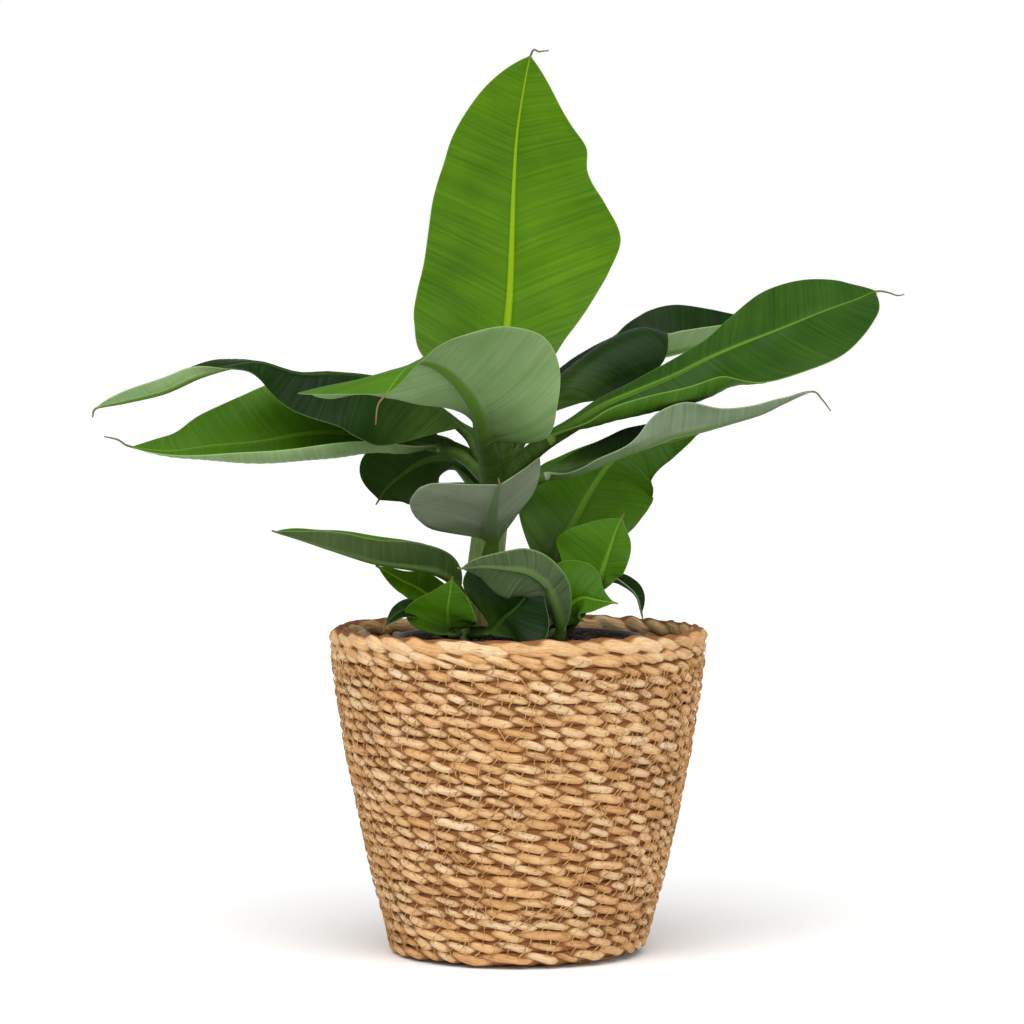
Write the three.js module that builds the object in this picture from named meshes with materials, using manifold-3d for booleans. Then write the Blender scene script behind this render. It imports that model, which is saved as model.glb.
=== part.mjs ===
// A young dwarf banana plant in a nursery pot, standing inside a coiled seagrass basket.
// Millimetres, +Z up. The origin is the centre of the basket's underside, and -Y is the front.
//
// The basket is a coiled base, a coiled wall, a thicker rim rope and a thin plastic lining.
// In it stands a plastic nursery pot full of soil. The plant is one main stem and three suckers,
// and each leaf is one piece: a stalk, a blade in two halves and the thread at its tip.

import * as THREE from "three";
import { mergeVertices } from "three/addons/utils/BufferGeometryUtils.js";
import Module from "manifold-3d";

const wasm = await Module();
wasm.setup();

// ---------------------------------------------------------------- driving dimensions

const GAP = 0.3;                    // clear space between pieces that touch
const ROUND_SEGMENTS = 36;          // facets around the basket, the pot and the soil

const WALL_THICKNESS = 6;           // one coil of the basket
const BASE_THICKNESS = 6.5;
const RIM_BOTTOM = 152.3;
const RIM_TOP = 160;
const RIM_OUTER_RADIUS = 93.3;
const RIM_INNER_RADIUS = 85.2;

// outside of the basket wall from the floor up: radius, height
const WALL_OUTLINE = [
  [60.2, 0], [63, 3.5], [66.2, 17.6], [72.3, 40], [78.6, 69], [84.5, 98.5], [89.2, 128], [92.4, 152],
];

const LINING_THICKNESS = 0.5;
const LINING_TOP = 158.5;

const POT_BASE_RADIUS = 46;
const POT_RIM_RADIUS = 62;
const POT_TOP = 155.5;
const POT_WALL = 1.2;
const POT_LIP_WIDTH = 2.5;
const POT_LIP_HEIGHT = 6;
const DRAIN_HOLES = 6;
const DRAIN_HOLE_RADIUS = 4;
const DRAIN_RING_RADIUS = 30;

const SOIL_EDGE = 154.5;            // height of the soil against the pot
const SOIL_CROWN = 156.5;           // height of the soil round the stem

const BLADE_THICKNESS = 0.8;        // leaf blade away from the midrib
const THREAD_RADIUS = 0.3;          // the dried thread at a leaf tip

// ---------------------------------------------------------------- leaves
//
// stalk, blade and thread are points along the midrib, from the stem to the tip.
// face lists the direction that the upper surface looks in, spread evenly from stem to tip.
// left and right are the halves as seen looking from stem to tip with the upper surface up.
// width, fold, curl and sweep are spread evenly along the blade: width is the half's width,
// fold the angle at which it leaves the midrib (up is positive), curl how much that angle turns
// by the margin, and sweep how far the margin leans to the tip, as a share of the width.
// ripple is the height, the number and the phase of the waves along the margin.

const LEAVES = [
  {
    name: "leaf_upright", stalkRadius: 4.5,
    stalk: [[-10, 2, 228], [-7, 5, 254]],
    blade: [[-6, 10, 271], [-6, 16, 298], [-4, 20, 325], [-3, 22, 352], [-2, 22, 379], [0, 18, 406], [6, 8, 439]],
    thread: [[10.5, 6, 441], [15, 5, 441.5]],
    face: [[0, -1, 0.3], [0, -1, 0.1], [0, -1, 0], [0, -1, 0], [0.1, -1, 0.1]],
    left: { width: [3, 40, 47, 46.5, 44, 42, 40, 36, 31, 20, 0], fold: [25, 14, 12, 10, 8], curl: [0], sweep: [0] },
    right: { width: [3, 22, 31, 40, 49, 54, 46, 36.5, 34, 18, 0], fold: [25, 14, 12, 10, 8], curl: [0, -10, -20, -10, 0], sweep: [0] },
    ripple: [0.8, 3, 0.1],
  },
  {
    name: "leaf_front", stalkRadius: 5,
    stalk: [[-11, -3, 226], [-13, -10, 243]],
    blade: [[-16, -18, 254], [-19, -28, 266], [-26, -42, 277], [-36, -58, 287], [-46, -72, 291], [-54, -84, 286], [-62, -92, 275]],
    thread: [[-65.5, -95, 270], [-66.5, -97, 261]],
    face: [[0.4, 0.75, 0.5], [0.4, 0.75, 0.5], [0.4, 0.8, 0.5], [0.05, 0.9, 0.45], [-0.1, 0.8, 0.6], [0, 0.3, 0.9], [-0.1, -0.6, 0.8], [0, -0.9, 0.5], [0, -0.9, 0.4]],
    left: { width: [5, 31, 39, 46, 47, 39, 29, 19, 9, 5, 0], fold: [0, 0, 0, 0, 0, 5, 20, 20, 10], curl: [0], sweep: [-0.3, -0.2, -0.1, 0, 0, 0, 0] },
    right: { width: [2, 6, 12, 17, 24, 30, 36, 44, 48, 46, 0], fold: [0, 0, 0, 0, -2, -9, -9, -6], curl: [0], sweep: [0, 0, 0, 0.1, 0.25, 0.35, 0.5] },
    ripple: [0.6, 3, 0.3],
  },
  {
    name: "leaf_left_upper", stalkRadius: 4.5,
    stalk: [[-12, 3, 230], [-18, 8, 249]],
    blade: [[-26, 8, 259], [-43, -2, 272], [-65, -12, 282], [-86, -22, 285], [-105, -30, 285], [-123, -36, 290], [-136, -40, 289], [-152, -44, 284], [-169, -47, 276], [-188, -50, 271], [-201, -52, 268]],
    thread: [[-203, -52, 263.5]],
    face: [[0, -0.3, 1], [0, -0.2, 1], [0, 0, 1], [0, 0, 1], [0, 0, 1], [-0.1, 0, 1], [-0.2, 0, 1]],
    left: { width: [2, 20, 34, 37, 30, 21, 13, 7, 6, 6.5, 7, 5, 0], fold: [-50, -60, -62, -62, -62, -62, -50, -10, 50, 60, 60, 50], curl: [0, -10, -10, 0, 0, 10, 20, 10, 0, 0], sweep: [0] },
    right: { width: [2, 14, 22, 26, 27, 25, 20, 14, 9, 8, 8, 5, 0], fold: [0, 0, 0, 0, 0, 5, 15, 35, 50, 50, 50], curl: [-10], sweep: [0] },
    ripple: [0.8, 4, 0.2],
  },
  {
    name: "leaf_left_lower", stalkRadius: 4.5,
    stalk: [[-13, 0, 234], [-24, 10, 244]],
    blade: [[-38, 12, 250], [-58, 8, 253], [-80, 2, 255], [-102, -6, 255], [-126, -14, 251], [-150, -22, 249], [-168, -28, 247], [-186, -33, 249]],
    thread: [[-192.5, -35, 252.5], [-199, -36, 254]],
    face: [[0, 0, 1], [0, -0.1, 1], [0, -0.2, 1], [0, -0.2, 1], [0, -0.2, 1]],
    left: { width: [2, 18, 26, 32, 34, 33, 29, 20, 11, 6, 0], fold: [-50, -65, -70, -70, -70, -60, -30], curl: [80, 120, 140, 140, 140, 110, 40], sweep: [0] },
    right: { width: [2, 20, 30, 34, 33, 30, 26, 19, 11, 7, 0], fold: [30, 35, 40, 42, 42, 40, 30], curl: [10], sweep: [0] },
    ripple: [1, 3, 0.5],
  },
  {
    name: "leaf_left_back", stalkRadius: 4.5,
    stalk: [[-15, 4, 226], [-22, 14, 234]],
    blade: [[-29, 20, 240], [-38, 26, 242], [-49, 28, 239], [-58, 28, 233], [-65, 27, 227], [-69, 25, 221]],
    thread: [[-70.5, 24, 218.5]],
    face: [[0, -0.6, 0.8], [0, -0.9, 0.5], [-0.1, -1, 0.2], [-0.1, -1, 0.2], [-0.1, -1, 0.2]],
    left: { width: [2, 10, 15, 18, 19, 19, 18, 16, 13, 8, 0], fold: [5], curl: [0], sweep: [0] },
    right: { width: [2, 8, 11, 13, 15, 17, 19, 20, 18, 11, 0], fold: [5], curl: [0], sweep: [0] },
    ripple: [0.6, 2, 0.1],
  },
  {
    name: "leaf_centre", stalkRadius: 3.5,
    stalk: [[-15, -12, 183], [-14, -16, 196]],
    blade: [[-13, -20, 205], [-13, -30, 214], [-12, -44, 223], [-10, -56, 230], [-9, -62, 232]],
    thread: [[-9.5, -64, 235]],
    face: [[0, 0.7, 0.7], [0, 0.6, 0.8], [0, 0.5, 0.9], [0, 0.4, 0.9]],
    left: { width: [5, 16, 25, 29, 31, 30, 26, 17, 0], fold: [30, 38, 42, 42, 35], curl: [0], sweep: [0] },
    right: { width: [5, 26, 35, 39, 40, 39, 36, 26, 0], fold: [5, 5, 5, 5, 5], curl: [-15], sweep: [0] },
    ripple: [0.8, 2, 0.1],
  },
  {
    name: "leaf_right_back", stalkRadius: 4.5,
    stalk: [[-8, 6, 240], [-2, 12, 251]],
    blade: [[5, 18, 262], [16, 26, 275], [31, 34, 286], [46, 42, 292], [60, 50, 294], [74, 58, 294], [92, 68, 298], [110, 78, 301], [129, 88, 301], [145, 94, 294]],
    thread: [[151, 96, 288.5]],
    face: [[0, -0.3, 1], [0, -0.3, 1], [0, -0.2, 1], [0, -0.1, 1], [0.1, 0, 1], [0.2, 0, 1]],
    left: { width: [2, 6, 8, 10, 14, 24, 26, 24, 18, 10, 0], fold: [20, 20, 20, 30, 40, 50, 45, 40, 30], curl: [0], sweep: [0] },
    right: { width: [2, 28, 44, 52, 50, 18, 13, 12, 11, 7, 0], fold: [10, 60, 75, 80, 85, 70, 55, 50, 45, 40, 30], curl: [0, -120, -185, -185, -170, -60, 0, 0, 0, 0, 0], sweep: [0] },
    ripple: [0.6, 3, 0.4],
  },
  {
    name: "leaf_right_upper", stalkRadius: 5,
    stalk: [[-8, -2, 234], [2, -6, 244]],
    blade: [[14, -10, 254], [28, -14, 262], [42, -16, 270], [59, -18, 277], [76, -19, 284], [92, -19, 292], [106, -19, 298], [127, -18, 306], [147, -16, 314], [164, -13, 320], [174, -10, 324]],
    thread: [[180, -9, 323.5], [184.5, -8, 322], [188, -8, 322.5]],
    face: [[0, -0.3, 1], [0, -0.3, 1], [-0.1, -0.4, 1], [-0.2, -0.5, 1], [-0.3, -0.5, 1]],
    left: { width: [2, 5, 8, 9, 12, 15, 22, 32, 30, 18, 0], fold: [10, 10, 10, 10, 10], curl: [0], sweep: [0] },
    right: { width: [2, 14, 28, 38, 44, 47, 48, 45, 38, 22, 0], fold: [-30, -50, -58, -60, -58, -50, -35, -22, -12, -5, 0], curl: [60, 100, 130, 140, 135, 115, 65, 35, 10, 0, 0], sweep: [0] },
    ripple: [0.7, 3, 0.2],
  },
  {
    name: "leaf_right_lower", stalkRadius: 4.5,
    stalk: [[-9, -8, 227], [1, -14, 232]],
    blade: [[13, -18, 237], [25, -20, 238], [37, -23, 242], [49, -27, 247], [61, -30, 251], [73, -33, 255], [87, -37, 258], [102, -41, 262], [116, -45, 266], [127, -48, 271], [140, -50, 276]],
    thread: [[145, -51, 272], [149, -52, 266.5]],
    face: [[0, -0.3, 1], [0, -0.2, 1], [0, -0.1, 1], [-0.1, 0, 1], [-0.2, 0, 1]],
    left: { width: [2, 10, 14, 16, 16, 16, 15, 12, 8, 5, 0], fold: [20, 30, 30, 28, 25, 25, 22, 20, 20, 20, 20], curl: [0], sweep: [0] },
    right: { width: [2, 12, 17, 19, 19, 19, 18, 13, 9, 5, 0], fold: [0, 4, 4, 6, 16, 40, 50, 32, 26, 22, 10], curl: [0], sweep: [0] },
    ripple: [0.5, 3, 0.2],
  },
  {
    name: "leaf_right_broad", stalkRadius: 4,
    stalk: [[14, -5, 160], [15, -4, 176]],
    blade: [[18, -2, 194], [29, 4, 214], [37, 10, 228], [47, 14, 241], [60, 16, 248], [75, 14, 250], [88, 10, 254]],
    thread: [[90.5, 9, 257]],
    face: [[0, -1, 0.3], [0, -1, 0.3], [0, -1, 0.4], [0, -1, 0.6], [0.1, -1, 0.8]],
    left: { width: [12, 27, 31, 28, 21, 13, 8, 4, 3, 3, 0], fold: [10], curl: [0], sweep: [-0.1] },
    right: { width: [4, 20, 28, 30, 30, 29, 28, 24, 14, 7, 0], fold: [10], curl: [0], sweep: [0] },
    ripple: [0.8, 3, 0.1],
  },
  {
    name: "leaf_right_low", small: true, stalkRadius: 3,
    stalk: [[16, -8, 158], [23, -15, 161]],
    blade: [[38, -20, 180], [41, -21, 189], [44, -22, 198], [47, -22, 207], [50, -22, 214]],
    thread: [[51.5, -22, 216.5]],
    face: [[-0.2, -1, 0.2], [-0.2, -1, 0.2], [-0.2, -1, 0.3]],
    left: { width: [3, 14, 22, 26, 25, 21, 14, 7, 0], fold: [5], curl: [0], sweep: [0] },
    right: { width: [3, 7, 10, 11, 11, 10, 8, 4, 0], fold: [5], curl: [0], sweep: [0] },
    ripple: [0.5, 2, 0.1],
  },
  {
    name: "leaf_hanging_tip", small: true, stalkRadius: 2,
    stalk: [[15, -3, 160], [22, -4, 168]],
    blade: [[38, -10, 181], [46, -14, 184], [53, -18, 181], [58, -21, 176], [60, -22, 168]],
    thread: [[60.5, -22, 165]],
    face: [[0, -0.3, 1], [0.2, -0.3, 1], [0.8, -0.4, 0.6], [1, -0.4, 0]],
    left: { width: [2, 5, 7, 7, 6, 4, 0], fold: [20], curl: [0], sweep: [0] },
    right: { width: [2, 5, 7, 7, 6, 4, 0], fold: [20], curl: [0], sweep: [0] },
    ripple: [0.3, 2, 0.1],
  },
  {
    name: "leaf_front_twisted", small: true, stalkRadius: 3,
    stalk: [[19, -31, 156], [20, -35, 157]],
    blade: [[21, -38, 162], [18, -44, 174], [13, -50, 184], [5, -55, 190], [-5, -58, 192], [-16, -60, 193], [-27, -60, 192]],
    thread: [[-29, -60, 192.5]],
    face: [[0.4, 0.9, 0], [0.4, 0.9, 0.2], [0.3, 0.8, 0.5], [0.1, 0.6, 0.8], [0, 0.5, 0.9], [0, 0.4, 0.9]],
    left: { width: [2, 6, 9, 11, 12, 13, 13, 11, 8, 5, 0], fold: [0, 10, 20, 20], curl: [0], sweep: [0] },
    right: { width: [2, 6, 10, 13, 16, 17, 18, 16, 12, 7, 0], fold: [0, -10, -20, -20, 0], curl: [0], sweep: [0] },
    ripple: [0.4, 2, 0.1],
  },
  {
    name: "leaf_front_bright", small: true, stalkRadius: 2.5,
    stalk: [[15, -10, 157], [17, -15, 159]],
    blade: [[20, -20, 163], [25, -24, 172], [31, -28, 176], [38, -32, 175], [46, -36, 174]],
    thread: [[48, -37, 173.5]],
    face: [[0, -1, 0.3], [0, -1, 0.3], [0.1, -1, 0.5], [0.2, -1, 0.6]],
    left: { width: [2, 12, 18, 20, 18, 13, 8, 3, 0], fold: [10], curl: [0], sweep: [0] },
    right: { width: [2, 8, 11, 12, 12, 10, 8, 4, 0], fold: [10], curl: [0], sweep: [0] },
    ripple: [0.5, 2, 0.1],
  },
  {
    name: "leaf_long_left", small: true, stalkRadius: 2.5,
    stalk: [[-26, -16, 160], [-26, -18, 168]],
    blade: [[-29, -22, 181], [-38, -26, 188], [-51, -30, 191], [-69, -36, 194], [-88, -42, 200], [-103, -46, 205], [-116, -50, 209]],
    thread: [[-117.5, -50, 209.5]],
    face: [[0, -0.2, 1], [0, -0.1, 1], [0, 0, 1], [0, 0, 1]],
    left: { width: [2, 10, 14, 15, 15, 14, 12, 9, 5, 0], fold: [40, 55, 55, 50, 45, 40, 30], curl: [0], sweep: [0] },
    right: { width: [2, 10, 14, 16, 17, 16, 14, 10, 6, 0], fold: [30, 40, 45, 45, 40, 40, 30], curl: [0], sweep: [0] },
    ripple: [0.6, 3, 0.1],
  },
  {
    name: "leaf_small_bright", small: true, stalkRadius: 2.2,
    stalk: [[-29, -14, 158], [-31, -11, 162]],
    blade: [[-35, -9, 170], [-42, -10, 175], [-50, -12, 180], [-58, -14, 184], [-68, -16, 190]],
    thread: [[-69, -16, 190]],
    face: [[0, -1, 0.4], [-0.2, -1, 0.6], [-0.2, -1, 0.6]],
    left: { width: [2, 8, 10, 10, 9, 7, 4, 0], fold: [15], curl: [0], sweep: [0] },
    right: { width: [2, 8, 9, 9, 7, 5, 3, 0], fold: [15], curl: [0], sweep: [0] },
    ripple: [0.5, 2, 0.1],
  },
  {
    name: "leaf_small_dark", small: true, stalkRadius: 2,
    stalk: [[-31, -20, 158], [-38, -24, 160]],
    blade: [[-45, -26, 169], [-51, -29, 171], [-58, -32, 169], [-64, -35, 163]],
    thread: [[-65, -36, 160]],
    face: [[0, -0.8, 0.8], [-0.2, -0.9, 0.7], [-0.5, -0.9, 0.3]],
    left: { width: [2, 5, 7, 7, 5, 3, 0], fold: [10], curl: [0], sweep: [0] },
    right: { width: [2, 4, 5, 5, 4, 2, 0], fold: [10], curl: [0], sweep: [0] },
    ripple: [0.3, 2, 0.1],
  },
  {
    name: "leaf_low_green", small: true, stalkRadius: 2.5,
    stalk: [[-30, -21, 159], [-31, -26, 159.5]],
    blade: [[-33, -30, 160], [-34, -34, 166], [-34, -37, 171], [-33, -39, 178], [-32, -40, 185]],
    thread: [[-31.5, -40, 187]],
    face: [[-0.2, -1, 0.3], [-0.2, -1, 0.3], [-0.2, -1, 0.3]],
    left: { width: [5, 16, 20, 20, 16, 10, 5, 0], fold: [10], curl: [0], sweep: [0] },
    right: { width: [3, 12, 16, 16, 14, 11, 6, 0], fold: [10], curl: [0], sweep: [0] },
    ripple: [0.5, 2, 0.1],
  },
  {
    name: "leaf_low_dark", small: true, stalkRadius: 2.5,
    stalk: [[-24, -22, 159], [-18, -31, 160]],
    blade: [[-13, -37, 161], [-7, -41, 167], [-1, -43, 172], [5, -44, 179], [10, -44, 185]],
    thread: [[12, -44, 187.5]],
    face: [[0, -1, 0.3], [0, -1, 0.3], [0, -1, 0.3]],
    left: { width: [4, 22, 29, 27, 22, 16, 8, 0], fold: [10], curl: [0], sweep: [0] },
    right: { width: [3, 9, 19, 23, 20, 14, 7, 0], fold: [10], curl: [0], sweep: [0] },
    ripple: [0.5, 2, 0.1],
  },
];

// main stem and suckers: middle points and radii, from inside the soil up
const STEMS = [
  { name: "pseudostem", sides: 12, points: [[-17, 0, 126], [-18, 0, 150], [-16, 0, 190], [-12, 1, 222], [-10, 1, 236]],
    radii: [8, 10.5, 9, 8, 5.5] },
  { name: "sucker_stem_right", sides: 8, points: [[14, -5, 132], [14, -6, 150], [15, -6, 166]], radii: [4, 5.5, 3.5] },
  { name: "sucker_stem_left", sides: 8, points: [[-27, -17, 132], [-28, -18, 150], [-28, -18, 165]], radii: [4, 5.5, 3.5] },
  { name: "sucker_stem_front", sides: 8, points: [[18, -29, 134], [18, -30, 150], [19, -31, 161]], radii: [3.5, 4.5, 3] },
];

const COLOURS = {
  straw: [0xd7aa6e, 0.85],
  film: [0xe1d7cd, 0.35],
  pot: [0x23211f, 0.5],
  soil: [0x2d2320, 0.95],
  stem: [0x8caa50, 0.5],
  leaf: [0x3c7a22, 0.4],
};

// ---------------------------------------------------------------- reading values spread along a piece

// Catmull-Rom reading of one number: values are spread evenly over 0..1
function spreadNumber(values, at) {
  const last = values.length - 1;
  if (last === 0) return values[0];
  const place = Math.min(Math.max(at, 0), 1) * last;
  const i = Math.min(Math.floor(place), last - 1);
  const f = place - i;
  const b = values[i];
  const c = values[i + 1];
  const a = i > 0 ? values[i - 1] : 2 * b - c;
  const d = i < last - 1 ? values[i + 2] : 2 * c - b;
  return 0.5 * (2 * b + (c - a) * f + (2 * a - 5 * b + 4 * c - d) * f ** 2 + (3 * b - a - 3 * c + d) * f ** 3);
}

function spreadVector(rows, at) {
  const axis = (k) => spreadNumber(rows.map((row) => row[k]), at);
  return new THREE.Vector3(axis(0), axis(1), axis(2));
}

// straight-line reading of values given at their own places
function linear(places, values, at) {
  let i = 1;
  while (i < places.length - 1 && at > places[i]) i += 1;
  const share = (at - places[i - 1]) / Math.max(places[i] - places[i - 1], 1e-9);
  return values[i - 1] + (values[i] - values[i - 1]) * Math.min(Math.max(share, 0), 1);
}

// ---------------------------------------------------------------- solids

function meshVolume(positions, index) {
  const corner = (k) => new THREE.Vector3().fromArray(positions, 3 * index[k]);
  let volume = 0;
  for (let k = 0; k < index.length; k += 3) volume += corner(k).dot(corner(k + 1).cross(corner(k + 2))) / 6;
  return volume;
}

// a closed solid from points and triangles, turned face out if it is inside out
function solidFrom(positions, index) {
  const faces = Uint32Array.from(index);
  if (meshVolume(positions, faces) < 0) {
    for (let k = 0; k < faces.length; k += 3) [faces[k + 1], faces[k + 2]] = [faces[k + 2], faces[k + 1]];
  }
  const mesh = new wasm.Mesh({ numProp: 3, vertProperties: Float32Array.from(positions), triVerts: faces });
  return new wasm.Manifold(mesh);
}

function solidOf(geometry) {
  const bare = geometry.clone();
  bare.deleteAttribute("normal");
  bare.deleteAttribute("uv");
  const merged = mergeVertices(bare, 1e-4);
  return solidFrom(merged.attributes.position.array, merged.index.array);
}

function geometryOf(solid) {
  const mesh = solid.getMesh();
  const geometry = new THREE.BufferGeometry();
  geometry.setAttribute("position", new THREE.BufferAttribute(Float32Array.from(mesh.vertProperties), 3));
  geometry.setIndex(new THREE.BufferAttribute(Uint32Array.from(mesh.triVerts), 1));
  geometry.computeVertexNormals();
  return geometry;
}

// a solid of revolution about Z from (radius, height) points
function turned(profile, segments = ROUND_SEGMENTS) {
  const outline = profile.map(([radius, height]) => new THREE.Vector2(radius, height));
  const geometry = new THREE.LatheGeometry(outline, segments);
  geometry.rotateX(Math.PI / 2);
  return solidOf(geometry);
}

// a closed skin over rings of equal length, with a flat cap on each end
function lofted(rings) {
  const count = rings[0].length;
  const positions = rings.flat().flatMap((point) => [point.x, point.y, point.z]);
  const index = [];
  for (let row = 0; row < rings.length - 1; row += 1) {
    for (let k = 0; k < count; k += 1) {
      const a = row * count + k;
      const b = row * count + ((k + 1) % count);
      index.push(a, b, a + count, b, b + count, a + count);
    }
  }
  const lastRow = (rings.length - 1) * count;
  for (let k = 0; k < count / 2 - 1; k += 1) {
    const mirror = count - 1 - k;
    index.push(k, mirror, k + 1, k + 1, mirror, mirror - 1);
    index.push(lastRow + k, lastRow + k + 1, lastRow + mirror, lastRow + k + 1, lastRow + mirror - 1, lastRow + mirror);
  }
  return solidFrom(positions, index);
}

function largestPart(solid) {
  const parts = solid.decompose();
  return parts.reduce((best, part) => (part.volume() > best.volume() ? part : best));
}

// ---------------------------------------------------------------- basket

function basketBase() {
  const radius = WALL_OUTLINE[0][0] - WALL_THICKNESS / 2 - GAP;
  return turned([[0, 0], [radius, 0], [radius, BASE_THICKNESS], [0, BASE_THICKNESS]]);
}

function innerWallRadius(height) {
  const heights = WALL_OUTLINE.map((point) => point[1]);
  const radii = WALL_OUTLINE.map((point) => point[0]);
  return linear(heights, radii, height) - WALL_THICKNESS;
}

function basketWall() {
  const foot = WALL_OUTLINE[0][0] - WALL_THICKNESS / 2;
  const inside = WALL_OUTLINE.slice(2).map(([radius, height]) => [radius - WALL_THICKNESS, height]).reverse();
  const shoulder = [foot, BASE_THICKNESS];
  return turned([...WALL_OUTLINE, ...inside, shoulder, [foot, 0], WALL_OUTLINE[0]]);
}

function basketRim() {
  const middleRadius = (RIM_OUTER_RADIUS + RIM_INNER_RADIUS) / 2;
  const middleHeight = (RIM_TOP + RIM_BOTTOM) / 2;
  const profile = [];
  for (let k = 0; k <= 8; k += 1) {
    const angle = (k + 0.5) * (Math.PI / 4);
    const reach = 1 / Math.cos(Math.PI / 8);
    profile.push([
      middleRadius + (RIM_OUTER_RADIUS - middleRadius) * Math.cos(angle) * reach,
      middleHeight + (RIM_TOP - middleHeight) * Math.sin(angle) * reach,
    ]);
  }
  return turned(profile);
}

function basketLining() {
  const floorTop = BASE_THICKNESS + GAP + LINING_THICKNESS;
  const skin = (height, clearance) => innerWallRadius(height) - clearance;
  const neck = RIM_INNER_RADIUS - GAP;
  const heights = [20, 69, 128, RIM_BOTTOM - 4];
  const outer = heights.map((height) => [skin(height, GAP), height]);
  const inner = heights.map((height) => [skin(height, GAP + LINING_THICKNESS), height]).reverse();
  const floorRadius = WALL_OUTLINE[0][0] - WALL_THICKNESS / 2 - 1;
  return turned([
    [0, BASE_THICKNESS + GAP], [floorRadius, BASE_THICKNESS + GAP], ...outer, [neck, RIM_BOTTOM], [neck, LINING_TOP],
    [neck - LINING_THICKNESS, LINING_TOP], [neck - LINING_THICKNESS, RIM_BOTTOM], ...inner,
    [floorRadius - LINING_THICKNESS, floorTop], [0, floorTop],
  ]);
}

// ---------------------------------------------------------------- nursery pot and soil

const POT_FLOOR = BASE_THICKNESS + GAP + LINING_THICKNESS + GAP;

function nurseryPot() {
  const bodyRadius = POT_RIM_RADIUS - POT_LIP_WIDTH;
  const lipBottom = POT_TOP - POT_LIP_HEIGHT;
  let pot = turned([
    [0, POT_FLOOR], [POT_BASE_RADIUS, POT_FLOOR], [bodyRadius, lipBottom], [POT_RIM_RADIUS, lipBottom],
    [POT_RIM_RADIUS, POT_TOP], [bodyRadius - POT_WALL, POT_TOP], [POT_BASE_RADIUS - POT_WALL, POT_FLOOR + POT_WALL],
    [0, POT_FLOOR + POT_WALL],
  ]);
  for (let k = 0; k < DRAIN_HOLES; k += 1) {
    const angle = (k / DRAIN_HOLES) * 2 * Math.PI;
    const hole = new THREE.CylinderGeometry(DRAIN_HOLE_RADIUS, DRAIN_HOLE_RADIUS, 4 * POT_WALL, 10);
    hole.rotateX(Math.PI / 2);
    hole.translate(DRAIN_RING_RADIUS * Math.cos(angle), DRAIN_RING_RADIUS * Math.sin(angle), POT_FLOOR);
    pot = pot.subtract(solidOf(hole));
  }
  return pot;
}

function soilPlug() {
  const bottom = POT_FLOOR + POT_WALL + GAP;
  const bottomRadius = POT_BASE_RADIUS - POT_WALL - GAP;
  const topRadius = POT_RIM_RADIUS - POT_LIP_WIDTH - POT_WALL - GAP;
  const share = (SOIL_EDGE - bottom) / (POT_TOP - bottom);
  const edge = bottomRadius + (topRadius - bottomRadius) * share;
  return turned([[0, bottom], [bottomRadius, bottom], [edge, SOIL_EDGE], [edge * 0.6, SOIL_CROWN], [0, SOIL_CROWN]]);
}

// ---------------------------------------------------------------- plant

function stemSolid(stem, grow = 0) {
  const rings = stem.points.map((point, row) => {
    const radius = stem.radii[row] + grow;
    const ring = [];
    for (let k = 0; k < stem.sides; k += 1) {
      const angle = ((k + 0.5) / stem.sides) * 2 * Math.PI;
      ring.push(new THREE.Vector3(point[0] + radius * Math.cos(angle), point[1] + radius * Math.sin(angle), point[2]));
    }
    return ring;
  });
  for (const point of rings.at(-1)) point.z += grow;
  for (const point of rings[0]) point.z -= grow;
  return lofted(rings);
}

// where the cross sections of a leaf lie: shares of the stalk, the blade and the thread
const SECTIONS = {
  large: { stalk: [0, 0.5], blade: [0, 0.05, 0.12, 0.2, 0.3, 0.4, 0.5, 0.6, 0.7, 0.8, 0.9, 0.96], thread: [0, 0.5, 1],
    across: [0.16, 0.5, 1] },
  small: { stalk: [0, 0.5], blade: [0, 0.1, 0.25, 0.4, 0.55, 0.7, 0.85], thread: [0, 1], across: [0.2, 1] },
};

function sectionPlaces(leaf, sections) {
  const spans = leaf.stalk.length + leaf.blade.length + leaf.thread.length - 1;
  const bladeStart = leaf.stalk.length / spans;
  const bladeEnd = (leaf.stalk.length + leaf.blade.length - 1) / spans;
  const places = [
    ...sections.stalk.map((share) => share * bladeStart),
    ...sections.blade.map((share) => bladeStart + share * (bladeEnd - bladeStart)),
    ...sections.thread.map((share) => bladeEnd + share * (1 - bladeEnd)),
  ];
  return { places, bladeStart, bladeEnd };
}

// the midrib, the sideways and the upward direction at one place of a leaf
function leafFrame(leaf, at) {
  const rib = [...leaf.stalk, ...leaf.blade, ...leaf.thread];
  const step = 0.01;
  const along = spreadVector(rib, Math.min(at + step, 1)).sub(spreadVector(rib, Math.max(at - step, 0))).normalize();
  const face = spreadVector(leaf.face, at);
  const up = face.addScaledVector(along, -face.dot(along)).normalize();
  return { middle: spreadVector(rib, at), along, up, side: new THREE.Vector3().crossVectors(along, up) };
}

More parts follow.
